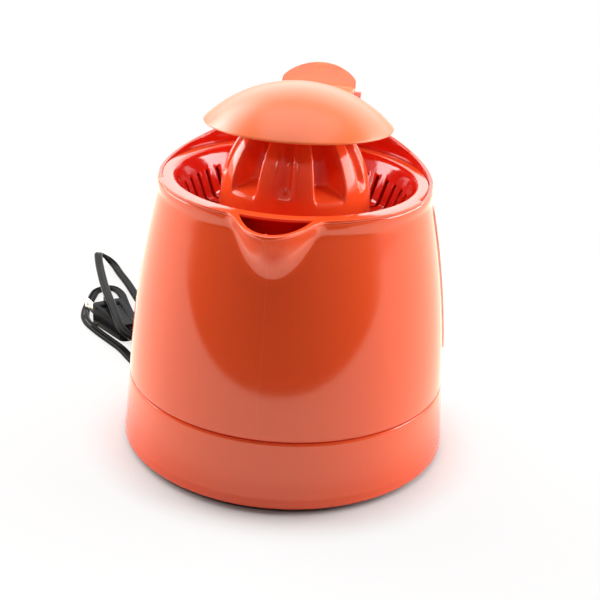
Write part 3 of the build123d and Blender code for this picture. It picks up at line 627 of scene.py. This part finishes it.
def beakBump(z, azimuth, inner, j=jugSet):
    share = max(0.0, (z - j["beakStart"]) / (j["rim"] - j["beakStart"]))
    half = j["beakRoot"] + (j["beakHalf"] - j["beakRoot"]) * share
    half -= j["beakWall"] if inner else 0.0
    if share <= 0 or abs(azimuth) >= half:
        return 0.0
    reach = j["beakReach"] * share ** 1.5
    if not inner:
        reach -= j["lipShare"] * (lipRadius(z) - jugRadius(z))
    return reach * math.cos(azimuth / half * math.pi / 2) ** 2


def crest(y, j=jugSet):  # height of the collar above the rim
    share = (y - j["collarFront"]) / (j["collarRear"] - j["collarFront"])
    share = max(0.0, min(1.0, share))
    return j["collarHeight"] * sum(c * share ** (i + 1) for i, c in enumerate(j["collarCurve"]))


def makeJugShell(j):
    out, inn, rim, top = j["collarOut"], j["collarIn"], j["rim"], j["collarTop"]
    rows = j["outerRows"] + [114 + 1.5 * i for i in range(15)] + j["lipRows"]
    profile = [(j["foot"] - 0.9, j["bottom"]), (j["foot"] - 0.3, j["bottom"] + 0.2)]
    profile += [(lipRadius(z), z) for z in rows]
    profile += [(j["lip"] - 0.1, 142.05), (out, rim), (out, 143.2), (out - 0.15, 143.75), (out - 0.5, top),
                (inn + 0.5, top), (inn + 0.15, 143.75), (inn, 143.2), (inn, rim), (jugRadius(rim) - j["wall"], rim)]
    rows = [141.2] + [139.5 - 1.5 * i for i in range(17)] + j["innerRows"]
    profile += [(jugRadius(z) - j["wall"], z) for z in rows] + j["floor"]
    piece = spinRound("jugShell", profile, j["columns"])
    for v in piece.data.vertices:
        radius, azimuth = polar(v.co / mm)
        z = v.co.z / mm
        if z > rim + 0.05:  # collar crest
            rise = crest(v.co.y / mm)
            v.co.z = (rim + rise + (z - top) * min(1.0, rise / 1.2)) * mm
            setPolar(v, (radius + beakBump(rim, azimuth, False)) * mm, azimuth)
        elif z > j["beakStart"] and radius > j["insideFrom"]:
            inside = radius < jugRadius(z) - j["wall"] / 2
            setPolar(v, (radius + beakBump(z, azimuth, inside)) * mm, azimuth)
    mend(piece)
    return piece


handleSet = {
    "outer": [(60, 130.4), (102.4, 127.6), (114.4, 113.2), (112, 58), (100, 46), (66, 46)], "outerRound": 12.0,
    "inner": [(66, 58), (96.4, 58), (100, 62.8), (102.4, 108.4), (97.6, 115.6), (60, 118.5)], "innerRound": 3.6,
    "width": 24.0, "soft": 3.5, "rootHigh": (68.25, 129.9), "rootLow": (80.65, 46.0),
}


def roundCorners(points, radius, steps=8):  # an open outline with its inner corners turned into arcs
    line = [points[0]]
    for before, here, after in zip(points, points[1:], points[2:]):
        here = Vector(here)
        back, ahead = (Vector(before) - here).normalized(), (Vector(after) - here).normalized()
        half = back.angle(ahead) / 2
        centre = here + (back + ahead).normalized() * radius / math.sin(half)
        first, last = here + back * radius / math.tan(half) - centre, here + ahead * radius / math.tan(half) - centre
        for i in range(steps + 1):
            line.append(tuple(centre + first.lerp(last, i / steps).normalized() * radius))
    return line + [points[-1]]


def makeHandle(h):
    outline = roundCorners(h["outer"], h["outerRound"]) + roundCorners(h["inner"], h["innerRound"])
    piece = prism("handleBow", outline, -h["width"] / 2, h["width"])
    soften(piece, h["soft"], segments=6, angle=55, use_clamp_overlap=False)
    high, low = Vector(h["rootHigh"]), Vector(h["rootLow"])  # the roots end inside the wall
    pick(piece, lambda v: True)
    outwards = Vector((0, high.y - low.y, low.x - high.x)).normalized()
    bpy.ops.mesh.bisect(plane_co=(0, high.x * mm, high.y * mm), plane_no=outwards, use_fill=True, clear_inner=True)
    tidyMesh()
    return piece


earSet = {"eye": 5.5, "inner": 20.3, "thick": 4.0, "soft": 0.6, "root": [(62.6, 139.6), (67.6, 139.6)],
          "shoulder": (62.6, 158.8)}


def makeEar(e, side):
    outline = e["root"] + arc(*hingeLine, e["eye"], range(-26, 141, 8)) + [e["shoulder"]]
    piece = prism("hingeEar", outline, e["inner"], e["thick"])
    soften(piece, e["soft"], segments=3, angle=50)
    if side < 0:
        piece.scale.x = -1
        bake(piece)
        mend(piece)
    return piece


windowSet = {"turn": 6.0, "width": 9.0, "low": 54.2, "high": 132.2, "stand": 0.9, "gap": 0.05, "near": 60.0,
             "thick": 2.2, "soft": 0.5, "bands": 13, "cutNear": 40.0, "cutDepth": 60.0}


def slotPrism(name, width, low, high, near, depth):  # upright slot with round ends, reaching outwards along +X
    r = width / 2
    outline = arc(0, high - r, r, range(0, 181, 12)) + arc(0, low + r, r, range(180, 361, 12))
    return prism(name, outline, near, depth)


def makeJug(j, w):
    piece = makeJugShell(j)
    cutter = slotPrism("windowCut", w["width"], w["low"], w["high"], w["cutNear"], w["cutDepth"])
    turnBy(cutter, z=w["turn"])
    cutAway(piece, cutter)
    for notch in twoBlocks(j["notchPlace"], j["notchSize"]):  # for the keys of the base
        cutAway(piece, notch)
    ears = [makeEar(earSet, side) for side in (1, -1)]
    join(piece, makeHandle(handleSet), *ears)
    settle(piece, "orangeJug", "jug_body", "jug", angle=32)

    def facesIn(face):
        outward = face.normal.x * face.center.x + face.normal.y * face.center.y
        reach = face.center.xy.length
        return outward < -0.3 * reach and reach > j["insideFrom"] * mm
    # painted shade: faces inside the jug get the deeper orange
    shade(piece, "orangePaintedShade", facesIn)


makeJug(jugSet, windowSet)


# level window: a clear strip that stands a little proud of the wall
def makeWindow(w):
    low, high = w["low"], w["high"]
    piece = slotPrism("levelStrip", w["width"] - 2 * w["gap"], low + w["gap"], high - w["gap"], w["near"], w["thick"])
    soften(piece, w["soft"], segments=3, angle=60)
    for band in range(1, w["bands"]):
        pick(piece, lambda v: True)
        bpy.ops.mesh.bisect(plane_co=(0, 0, (low + (high - low) * band / w["bands"]) * mm), plane_no=(0, 0, 1))
    enter("OBJECT")
    for v in piece.data.vertices:  # follows the wall up and round
        wall = jugRadius(v.co.z / mm)
        sag = wall - math.sqrt(max(0, wall ** 2 - (v.co.y / mm) ** 2))
        v.co.x = v.co.x + (wall - w["near"] - w["thick"] + w["stand"]) * mm - sag * mm
    turnBy(piece, z=w["turn"])
    settle(piece, "clearOrange", "jug_body", "level_window", angle=40)


makeWindow(windowSet)


# strainer: flange with its own beak and pour hole, bowl with slots
strainerSet = {
    "columns": 440, "flangeTop": 144.0, "front": 68.2, "rear": 65.9, "rearFrom": 70.0, "tip": 92.0, "half": 20.5,
    "bar": 67.0, "holeTip": 88.4, "holeColumns": 18, "holeShape": 1.1, "bowl": 60.2, "floor": 51.0, "floorTop": 121.0,
    "depth": 23.0, "wall": 1.6, "soft": 0.38, "shadeUnder": 143.2, "pitch": 10, "shift": 3, "slotFree": 16.0,
    "slotTop": 134.4, "slotWidth": 2.2, "slotTurn": -2.2, "turnFrom": 140.2, "turnOver": 4.6,
    "lip": [(62.0, 144.0), (61.2, 143.9), (60.6, 143.5)],
    "corner": [(51.35, 122.1), (50.7, 121.4), (49.6, 121.05), (47, 121), (44, 121), (41.0, 121)],
    "hub": [(7.65, 116.3), (7.95, 116), (9.75, 116), (10.05, 116.3), (10.05, 127.4), (9.8, 127.85), (9.4, 128),
            (8.1, 128), (7.75, 127.9), (7.65, 127.6)],
    "nib": 0.00075, "nibPlace": (-0.0009, -0.0882, 0.1433), "nibScale": (0.8, 0.8, 1.2),
}


def makeStrainer(s):
    step = 360 / s["columns"]
    holeHalf = s["holeColumns"] * step
    top, floor = s["flangeTop"], s["floorTop"]

    def bowlRadius(z):
        return s["floor"] + (s["bowl"] - s["floor"]) * (z - floor) / s["depth"]

    def signed(column):
        return column if column <= s["columns"] / 2 else column - s["columns"]

    def slotOffset(column):
        return (column + s["shift"] + s["pitch"] // 2) % s["pitch"] - s["pitch"] // 2

    def hasSlot(column):  # the wall stays whole behind the beak
        centre = (column - slotOffset(column) + s["shift"]) * step + s["slotTurn"]
        return s["slotFree"] < centre < 360 - s["slotFree"]
    rows = [("edge", 70.0, top), ("holeOut", 69.0, top), ("bar", 67.0, top)] + [("lip", r, z) for r, z in s["lip"]]
    rows += [("lip", bowlRadius(142.6), 142.6)] + [("wall", bowlRadius(z), z) for z in (s["turnFrom"], 137.6, 135.6)]
    rows += [("slot", bowlRadius(z), z) for z in (s["slotTop"], s["slotTop"] - 1.2, 131, 128, 125.2, 123.2)]
    rows += [("slot", r, z) for r, z in s["corner"]] + [("floor", r, floor) for r in (38, 30, 20, 9.6)]
    piece = spinRound("strainerSheet", [(r, z) for _, r, z in rows], s["columns"], close=False)
    names = {}
    for v in piece.data.vertices:
        radius, azimuth = polar(v.co / mm)
        z = v.co.z / mm
        index = min(range(len(rows)), key=lambda i: abs(rows[i][1] - radius) + abs(rows[i][2] - z))
        names[v.index] = (index, round(azimuth / step) % s["columns"])
    for v in piece.data.vertices:
        index, column = names[v.index]
        kind, radius, z = rows[index]
        azimuth = signed(column) * step
        turned = min(1.0, max(0.0, (s["turnFrom"] - z) / s["turnOver"])) * (s["slotTurn"] + s["shift"] * step)
        outer = s["front"] if abs(azimuth) < s["rearFrom"] else s["rear"]
        if abs(azimuth) < s["half"]:
            outer += (s["tip"] - s["front"]) * math.cos(azimuth / s["half"] * math.pi / 2) ** 2
        if kind == "edge":
            radius = outer
        elif kind == "holeOut":
            radius = min(s["bar"] + 0.3, outer - 0.8)
            if abs(azimuth) <= holeHalf + 0.01:
                bow = max(0.0, math.cos(azimuth / holeHalf * math.pi / 2)) ** s["holeShape"]
                radius = s["bar"] + (s["holeTip"] - s["bar"]) * bow
        elif kind == "bar":
            radius = min(s["bar"], outer - 1.2)
        elif kind == "slot" and hasSlot(column):
            offset = slotOffset(column)
            if abs(offset) <= 2:
                azimuth = (column - offset) * step + math.degrees(math.asin(offset * s["slotWidth"] / 4 / radius))
                if z == s["slotTop"]:  # round end
                    drop = s["slotWidth"] / 2 * (1 - math.sqrt(max(0.0, 1 - (offset / 2) ** 2)))
                    v.co.z = (s["slotTop"] - drop) * mm
        setPolar(v, radius * mm, azimuth + turned)

    def isOpen(face):
        marks = [names[i] for i in face.vertices]
        kinds = {rows[i][0] for i, _ in marks}
        columns = [c for _, c in marks]
        if kinds == {"bar", "holeOut"}:
            return max(abs(signed(c)) for c in columns) <= s["holeColumns"]
        if kinds == {"slot"}:
            offsets = [slotOffset(c) for c in columns]
            return hasSlot(columns[0]) and max(abs(o) for o in offsets) <= 2 and max(offsets) - min(offsets) == 1
        return False
    pick(piece, isOpen, "FACE")
    bpy.ops.mesh.delete(type="FACE")
    tidyMesh(0.00004)
    if sum(f.normal.z * f.area for f in piece.data.polygons) < 0:  # the sheet faces up before it gets its wall
        pick(piece, lambda f: True, "FACE")
        bpy.ops.mesh.flip_normals()
        enter("OBJECT")
    addModifier(piece, "SOLIDIFY", thickness=s["wall"] * mm, offset=-1, use_even_offset=False)
    soften(piece, s["soft"], segments=2, angle=55)
    hub = spinRound("strainerHub", s["hub"], 64)
    bpy.ops.mesh.primitive_uv_sphere_add(segments=16, ring_count=8, radius=s["nib"], location=s["nibPlace"])
    nib = active()  # gate mark left in the pour hole
    nib.scale = s["nibScale"]
    bake(nib)
    join(piece, hub, nib)
    settle(piece, "orangeShell", "jug_body", "strainer", angle=40)
    # painted shade: the strainer below the flange top gets the deeper orange
    shade(piece, "orangePaintedShade", lambda face: face.center.z < s["shadeUnder"] * mm)


makeStrainer(strainerSet)


# reamer: ribbed cone, five wide flutes and five narrow grooves
reamerSet = {
    "bottom": 124.0, "height": 54.0, "radius": 38.0, "skirt": 17.5, "turn": -1.0, "ribs": 5, "skin": 0.6,
    "fluteFrom": 139.0, "wideCut": (11.0, -1.7, 7.0), "narrowCut": (3.4, 0.2, 6.0),  # depth, start, run of the scoop
    "heights": [124.3, 126, 130, 134, 137.5, 139.5, 140.6, 141.4, 141.9, 142.4, 142.9, 143.4, 143.9, 144.5, 145.2,
                146, 147, 148.5, *(150.5 + 2.5 * i for i in range(9)), 172, 173.6, 175, 176.2, 177, 177.5, 177.85],
    "inside": [(0, 151.7), (8, 151.7), (8, 131.7), (11, 131.7), (11, 151.7), (17.2, 151.7), (22.2, 144.5),
               (34.1, 138.5), (35, 124)],
    "wide": [(0, 1.0), (3.4, 0.99), (6.6, 0.965), (9.0, 0.92), (10.2, 0.86), (10.9, 0.76), (11.4, 0.6), (11.8, 0.42),
             (12.2, 0.25), (12.7, 0.12), (13.4, 0.04), (14.4, 0.008), (16.0, 0), (18.4, 0), (20.8, 0), (23.2, 0),
             (25.0, 0)],
    "narrow": [(0, 1.0), (1.6, 0.94), (3.0, 0.8), (4.2, 0.6), (5.4, 0.37), (6.6, 0.17), (7.8, 0.05), (9.2, 0)],
}


def reamerRadius(z):
    share = (z - reamerSet["bottom"]) / reamerSet["height"]
    return reamerSet["radius"] * math.sqrt(max(0.0, 1 - share ** 2.5))


def fluteDepth(z, cut):  # scoops out of the skirt, then follows the outline up to the tip
    depth, start, run = cut
    share = eased((z - (reamerSet["bottom"] + reamerSet["skirt"]) - start) / run)
    return min(depth * share, 0.5 * reamerRadius(z))


def makeReamer(r):
    low, sector = r["bottom"], 360 / r["ribs"]
    profile = [(reamerRadius(low) - 0.5, low)] + [(reamerRadius(z), z) for z in r["heights"]]
    profile += [(0, low + r["height"])] + r["inside"]
    right = [(a, g, 0) for a, g in r["wide"]] + [(sector / 2 - a, 0, g) for a, g in reversed(r["narrow"])]
    angles = sorted([(-a, g, n) for a, g, n in right[1:-1]] + right)
    count = len(angles)
    piece = spinRound("reamerCone", profile, r["ribs"] * count)
    for v in piece.data.vertices:
        radius, azimuth = polar(v.co / mm)
        z = v.co.z / mm
        if radius < 0.01:
            continue
        column = round(azimuth / (sector / count)) % (r["ribs"] * count)
        angle, wide, narrow = angles[column % count]
        if z > r["fluteFrom"] and radius > reamerRadius(z) - r["skin"]:
            radius -= max(wide * fluteDepth(z, r["wideCut"]), narrow * fluteDepth(z, r["narrowCut"]))
        setPolar(v, radius * mm, sector / 2 + sector * (column // count) + angle + r["turn"])
    mend(piece)
    # painted light: the reamer gets the brighter orange
    settle(piece, "orangeConePaintedLight", "reamer_body", "reamer", angle=60)


makeReamer(reamerSet)


# press lid: dome with a thick rounded edge, arm to the hinge, thumb tongue behind
lidSet = {
    "rim": 165.4, "radius": 47.4, "rise": 20.4, "wall": 2.3, "tilt": 3.5, "seat": 0.6, "arm": 19.7, "barrel": 5.0,
    "soft": 0.7, "crown": 1.6, "crownTo": 70.0, "crownOver": 169.0, "slices": 40,
    "tongue": 24.5, "climb": 38.5, "thick": 3.0, "tipFrom": 78.0, "tipOver": 162.0,
    "flare": 0.09, "flareFrom": 6.8, "flareRun": 2.5,
    "edge": [(-1.1, 166.55), (-0.8, 166.2), (-0.75, 165.85), (-0.9, 165.55), (-1.25, 165.4), (-2.4, 165.4)],
    "armUnder": [(36, 167.2), (60, 166.6), (69.6, 165.8)],
    "armTop": [(84.8, 176.6), (80.0, 173.0), (76.0, 171.3), (71.0, 171.4), (65.0, 172.4), (56.0, 173.8),
               (46.0, 175.2), (36, 176.4)],
}


def makeLid(k):
    sphere = (k["radius"] ** 2 + k["rise"] ** 2) / (2 * k["rise"])
    hollow = sphere - k["wall"]
    centre = k["rim"] + k["rise"] - sphere

    def domeLine(radius, widest, parts):
        turns = [radians(widest * i / parts) for i in range(25)]
        return [(radius * math.sin(a), centre + radius * math.cos(a)) for a in turns]
    outer = domeLine(sphere, math.degrees(math.asin(k["radius"] / sphere)), 26)
    inner = domeLine(hollow, math.degrees(math.acos((k["rim"] - centre) / hollow)), 24)
    edge = [(k["radius"] + r, z) for r, z in k["edge"]]
    piece = spinRound("lidDome", outer + edge + inner[::-1], 192, close=False)
    y0, z0 = hingeLine
    run, climb = math.cos(radians(k["climb"])), math.sin(radians(k["climb"]))
    tipY, tipZ = y0 + k["tongue"] * run, z0 + k["tongue"] * climb
    outline = k["armUnder"] + arc(y0, z0, k["barrel"], range(190, 313, 15))
    outline += [(tipY - 3.0 * run, tipZ - 3.0 * climb), (tipY - 0.8, tipZ - 0.1), (tipY - 0.3, tipZ + 1.0),
                (tipY - 1.2, tipZ + 2.0), (tipY - k["thick"] * climb - 1.0, tipZ + k["thick"] * run - 0.4)]
    arm = prism("lidArm", outline + k["armTop"], -k["arm"], 2 * k["arm"], k["slices"])
    for v in arm.data.vertices:
        across = min(1.0, abs(v.co.x) / mm / (k["arm"] + 0.02))
        share = math.sqrt(max(0.0, 1 - across ** 2))
        past = v.co.y / mm - k["tipFrom"]
        if past > 0 and v.co.z / mm > k["tipOver"]:  # the tongue flares a little and ends in a round tip
            v.co.y = (k["tipFrom"] + past * share) * mm
            v.co.z -= past * (1 - share) * climb / run * mm
            away = math.hypot(v.co.y / mm - y0, v.co.z / mm - z0)
            v.co.x *= 1 + k["flare"] * across ** 2 * eased((away - k["flareFrom"]) / k["flareRun"])
        elif v.co.y / mm < k["crownTo"] and v.co.z / mm > k["crownOver"]:  # softly crowned arm
            v.co.z -= k["crown"] * across ** 4 * mm
    soften(arm, k["soft"], segments=2, angle=55)
    clearSelection()
    bpy.ops.mesh.primitive_uv_sphere_add(segments=96, ring_count=48, radius=(hollow + k["seat"]) * mm,
                                         location=(0, 0, centre * mm))
    bake(active())
    cutAway(arm, active())
    join(piece, arm)
    pivot = Matrix.Translation((0, y0 * mm, z0 * mm))
    piece.matrix_world = pivot @ Matrix.Rotation(radians(-k["tilt"]), 4, "X") @ pivot.inverted()
    bake(piece)
    # painted light: the lid gets the paler orange
    settle(piece, "orangeLidPaintedLight", "lid_body", "lid", angle=40)


makeLid(lidSet)


# return spring: a wire coil
springSet = {"radius": 5.3, "wire": 0.5, "low": 34.5, "length": 12.0, "turns": 5, "perTurn": 16, "travel": 2.0}


def makeSpring(s):
    count = s["turns"] * s["perTurn"]
    rise = s["length"] - 2 * s["wire"]
    points = []
    for i in range(count + 1):
        angle = math.tau * i / s["perTurn"]
        points.append((s["radius"] * math.cos(angle) * mm, s["radius"] * math.sin(angle) * mm,
                       (s["low"] + s["wire"] + rise * i / count) * mm))
    piece = makeCurve("returnSpring", points)
    piece.data.bevel_depth = s["wire"] * mm
    piece.data.bevel_resolution = 3
    piece = toMesh(piece)
    settle(piece, "steel", "output_body", "return_spring", angle=50)
    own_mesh(piece)


makeSpring(springSet)


# CAD nodes that keep their shape
nodeLooks = {
    "blackPlastic": ["base_plate", "microswitch"],
    "blackRubber": ["foot_ring", "spindle_seal"],
    "whitePlastic": ["switch_button", "terminal_block", "idler_gear", "output_gear", "glide_ring", "drive_insert"],
    "steel": ["base_screws", "gear_plate", "gear_plate_screws", "motor_can", "idler_axle", "rotor_shaft", "spindle",
              "spindle_clip"],
    "bronze": ["plate_bush", "tower_bush"],
    "copper": ["motor_coil"],
    "ferrite": ["rotor"],
    "plated": ["plug_blades"],
    "orangeShell": ["hinge_pin"],
}
for look, names in nodeLooks.items():
    for name in names:
        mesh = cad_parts[name].data
        mesh.materials.clear()
        mesh.materials.append(looks[look])
print("CAD nodes finished:", sum(len(names) for names in nodeLooks.values()))


# white sweep, softboxes and the dark room in front
floorSet = {"size": 8, "tone": (0.64, 0.64, 0.6304, 1), "nearFade": (0.0855, 0.112), "glossFade": (0.086, 0.14),
            "farFade": (0.24, 0.42), "clean": 0.8, "shine": 2.0, "shineTone": (1.0, 0.90, 0.74, 1)}
roomSet = {"size": 3.2, "place": (0, -0.275, 0.085), "tone": (0.02, 0.02, 0.02, 1), "sideFade": (0.4, 1.5),
           "topFade": (-0.05, 0.5)}
worldStrength = 0.10
lampSet = {  # place, aim, size, power
    "keyBox": ((-0.22, -0.74, 0.76), (0, 0, 0.15), (0.3, 0.12), 1.2),
    "topBox": ((0.0, 0.12, 1.15), (0, 0.02, 0.1), (1.0, 0.8), 7.0),
    "backBox": ((0.0, 1.05, 0.75), (0, 0, 0.12), (1.9, 0.9), 10.0),
    "highBox": ((-0.95, 0.65, 1.0), (0, 0, 0.18), (0.8, 0.6), 5.5),
    "rightBox": ((1.0, 0.34, 0.50), (0, 0, 0.1), (0.9, 0.7), 19.0),
    "leftBox": ((-1.0, 0.32, 0.50), (0, 0, 0.1), (0.9, 0.7), 15.5),
}


def stagePlane(name, look, **plane):
    clearSelection()
    bpy.ops.mesh.primitive_plane_add(**plane)
    piece = active()
    piece.name = name
    material = bpy.data.materials.new(look)
    material.use_nodes = True
    material.node_tree.nodes.clear()
    piece.data.materials.append(material)
    return piece, material.node_tree


def fadeNode(tree, value, span, first=0.0, last=1.0):
    fade = addNode(tree, "ShaderNodeMapRange", interpolation_type="SMOOTHSTEP", From_Min=span[0], From_Max=span[1],
                   To_Min=first, To_Max=last)
    feed(tree, fade.inputs["Value"], value)
    return fade.outputs["Result"]


def mixSurface(tree, fac, first, second):
    mix = tree.nodes.new("ShaderNodeMixShader")
    for socket, value in zip(mix.inputs, (fac, first.outputs[0], second.outputs[0])):
        feed(tree, socket, value)
    out = tree.nodes.new("ShaderNodeOutputMaterial")
    feed(tree, out.inputs["Surface"], mix.outputs[0])


def makeFloor(s):
    floor, tree = stagePlane("studioFloor", "floorWhite", size=s["size"])
    reach = addNode(tree, "ShaderNodeVectorMath", operation="LENGTH")
    feed(tree, reach.inputs[0], objectPlace(tree))
    away = reach.outputs["Value"]
    near, shiny, far = (fadeNode(tree, away, s[key]) for key in ("nearFade", "glossFade", "farFade"))
    light = tree.nodes.new("ShaderNodeLightPath").outputs
    gloss = light["Is Glossy Ray"]
    seen = mathNode(tree, "ADD", light["Is Camera Ray"], light["Is Transmission Ray"], clamp=True)
    clean = mathNode(tree, "MULTIPLY_ADD", near, s["clean"], mathNode(tree, "MULTIPLY", far, 1.0 - s["clean"]))
    fac = mathNode(tree, "MULTIPLY_ADD", shiny, gloss, mathNode(tree, "MULTIPLY", clean, seen), clamp=True)
    lit = addNode(tree, "ShaderNodeBsdfDiffuse", Color=s["tone"])
    glow = tree.nodes.new("ShaderNodeEmission")
    feed(tree, glow.inputs["Strength"], mathNode(tree, "MULTIPLY_ADD", gloss, s["shine"] - 1.0, 1.0))
    feed(tree, glow.inputs["Color"], mixColour(tree, gloss, (1, 1, 1, 1), s["shineTone"]))
    mixSurface(tree, fac, lit, glow)


def makeRoom(s):  # dark room that the gloss shows in front, not seen by the camera
    room, tree = stagePlane("darkRoom", "roomDark", size=s["size"], location=s["place"],
                            rotation=(radians(90), 0, 0))
    split = splitPlace(tree)
    sides = fadeNode(tree, mathNode(tree, "ABSOLUTE", split["X"]), s["sideFade"], 1.0, 0.0)
    top = fadeNode(tree, split["Y"], s["topFade"], 1.0, 0.0)
    clear = tree.nodes.new("ShaderNodeBsdfTransparent")
    glow = addNode(tree, "ShaderNodeEmission", Color=s["tone"])
    mixSurface(tree, mathNode(tree, "MULTIPLY", sides, top), clear, glow)
    room.visible_camera = room.visible_diffuse = room.visible_shadow = room.visible_transmission = False


def makeWorld(strength):  # white to the eye and in the gloss, faint as a light
    world = scene.world or bpy.data.worlds.new("studio")
    scene.world = world
    world.use_nodes = True
    tree = world.node_tree
    background = tree.nodes["Background"].inputs
    light = tree.nodes.new("ShaderNodeLightPath").outputs
    seen = mathNode(tree, "ADD", light["Is Camera Ray"], light["Is Glossy Ray"], clamp=True)
    seen = mathNode(tree, "ADD", seen, light["Is Transmission Ray"], clamp=True)
    background["Color"].default_value = (1, 1, 1, 1)
    feed(tree, background["Strength"], mathNode(tree, "MULTIPLY_ADD", seen, 1.0 - strength, strength))


def makeLamp(name, place, aim, size, power):
    clearSelection()
    bpy.ops.object.light_add(type="AREA", location=place)
    lamp = active()
    lamp.name = name
    lamp.data.shape = "RECTANGLE"
    lamp.data.size, lamp.data.size_y = size
    lamp.data.energy = power
    lamp.rotation_euler = (Vector(aim) - Vector(place)).to_track_quat("-Z", "Y").to_euler()


makeFloor(floorSet)
makeRoom(roomSet)
makeWorld(worldStrength)
for name, values in lampSet.items():
    makeLamp(name, *values)
scene.view_settings.view_transform = "Standard"
print("stage and lamps set")
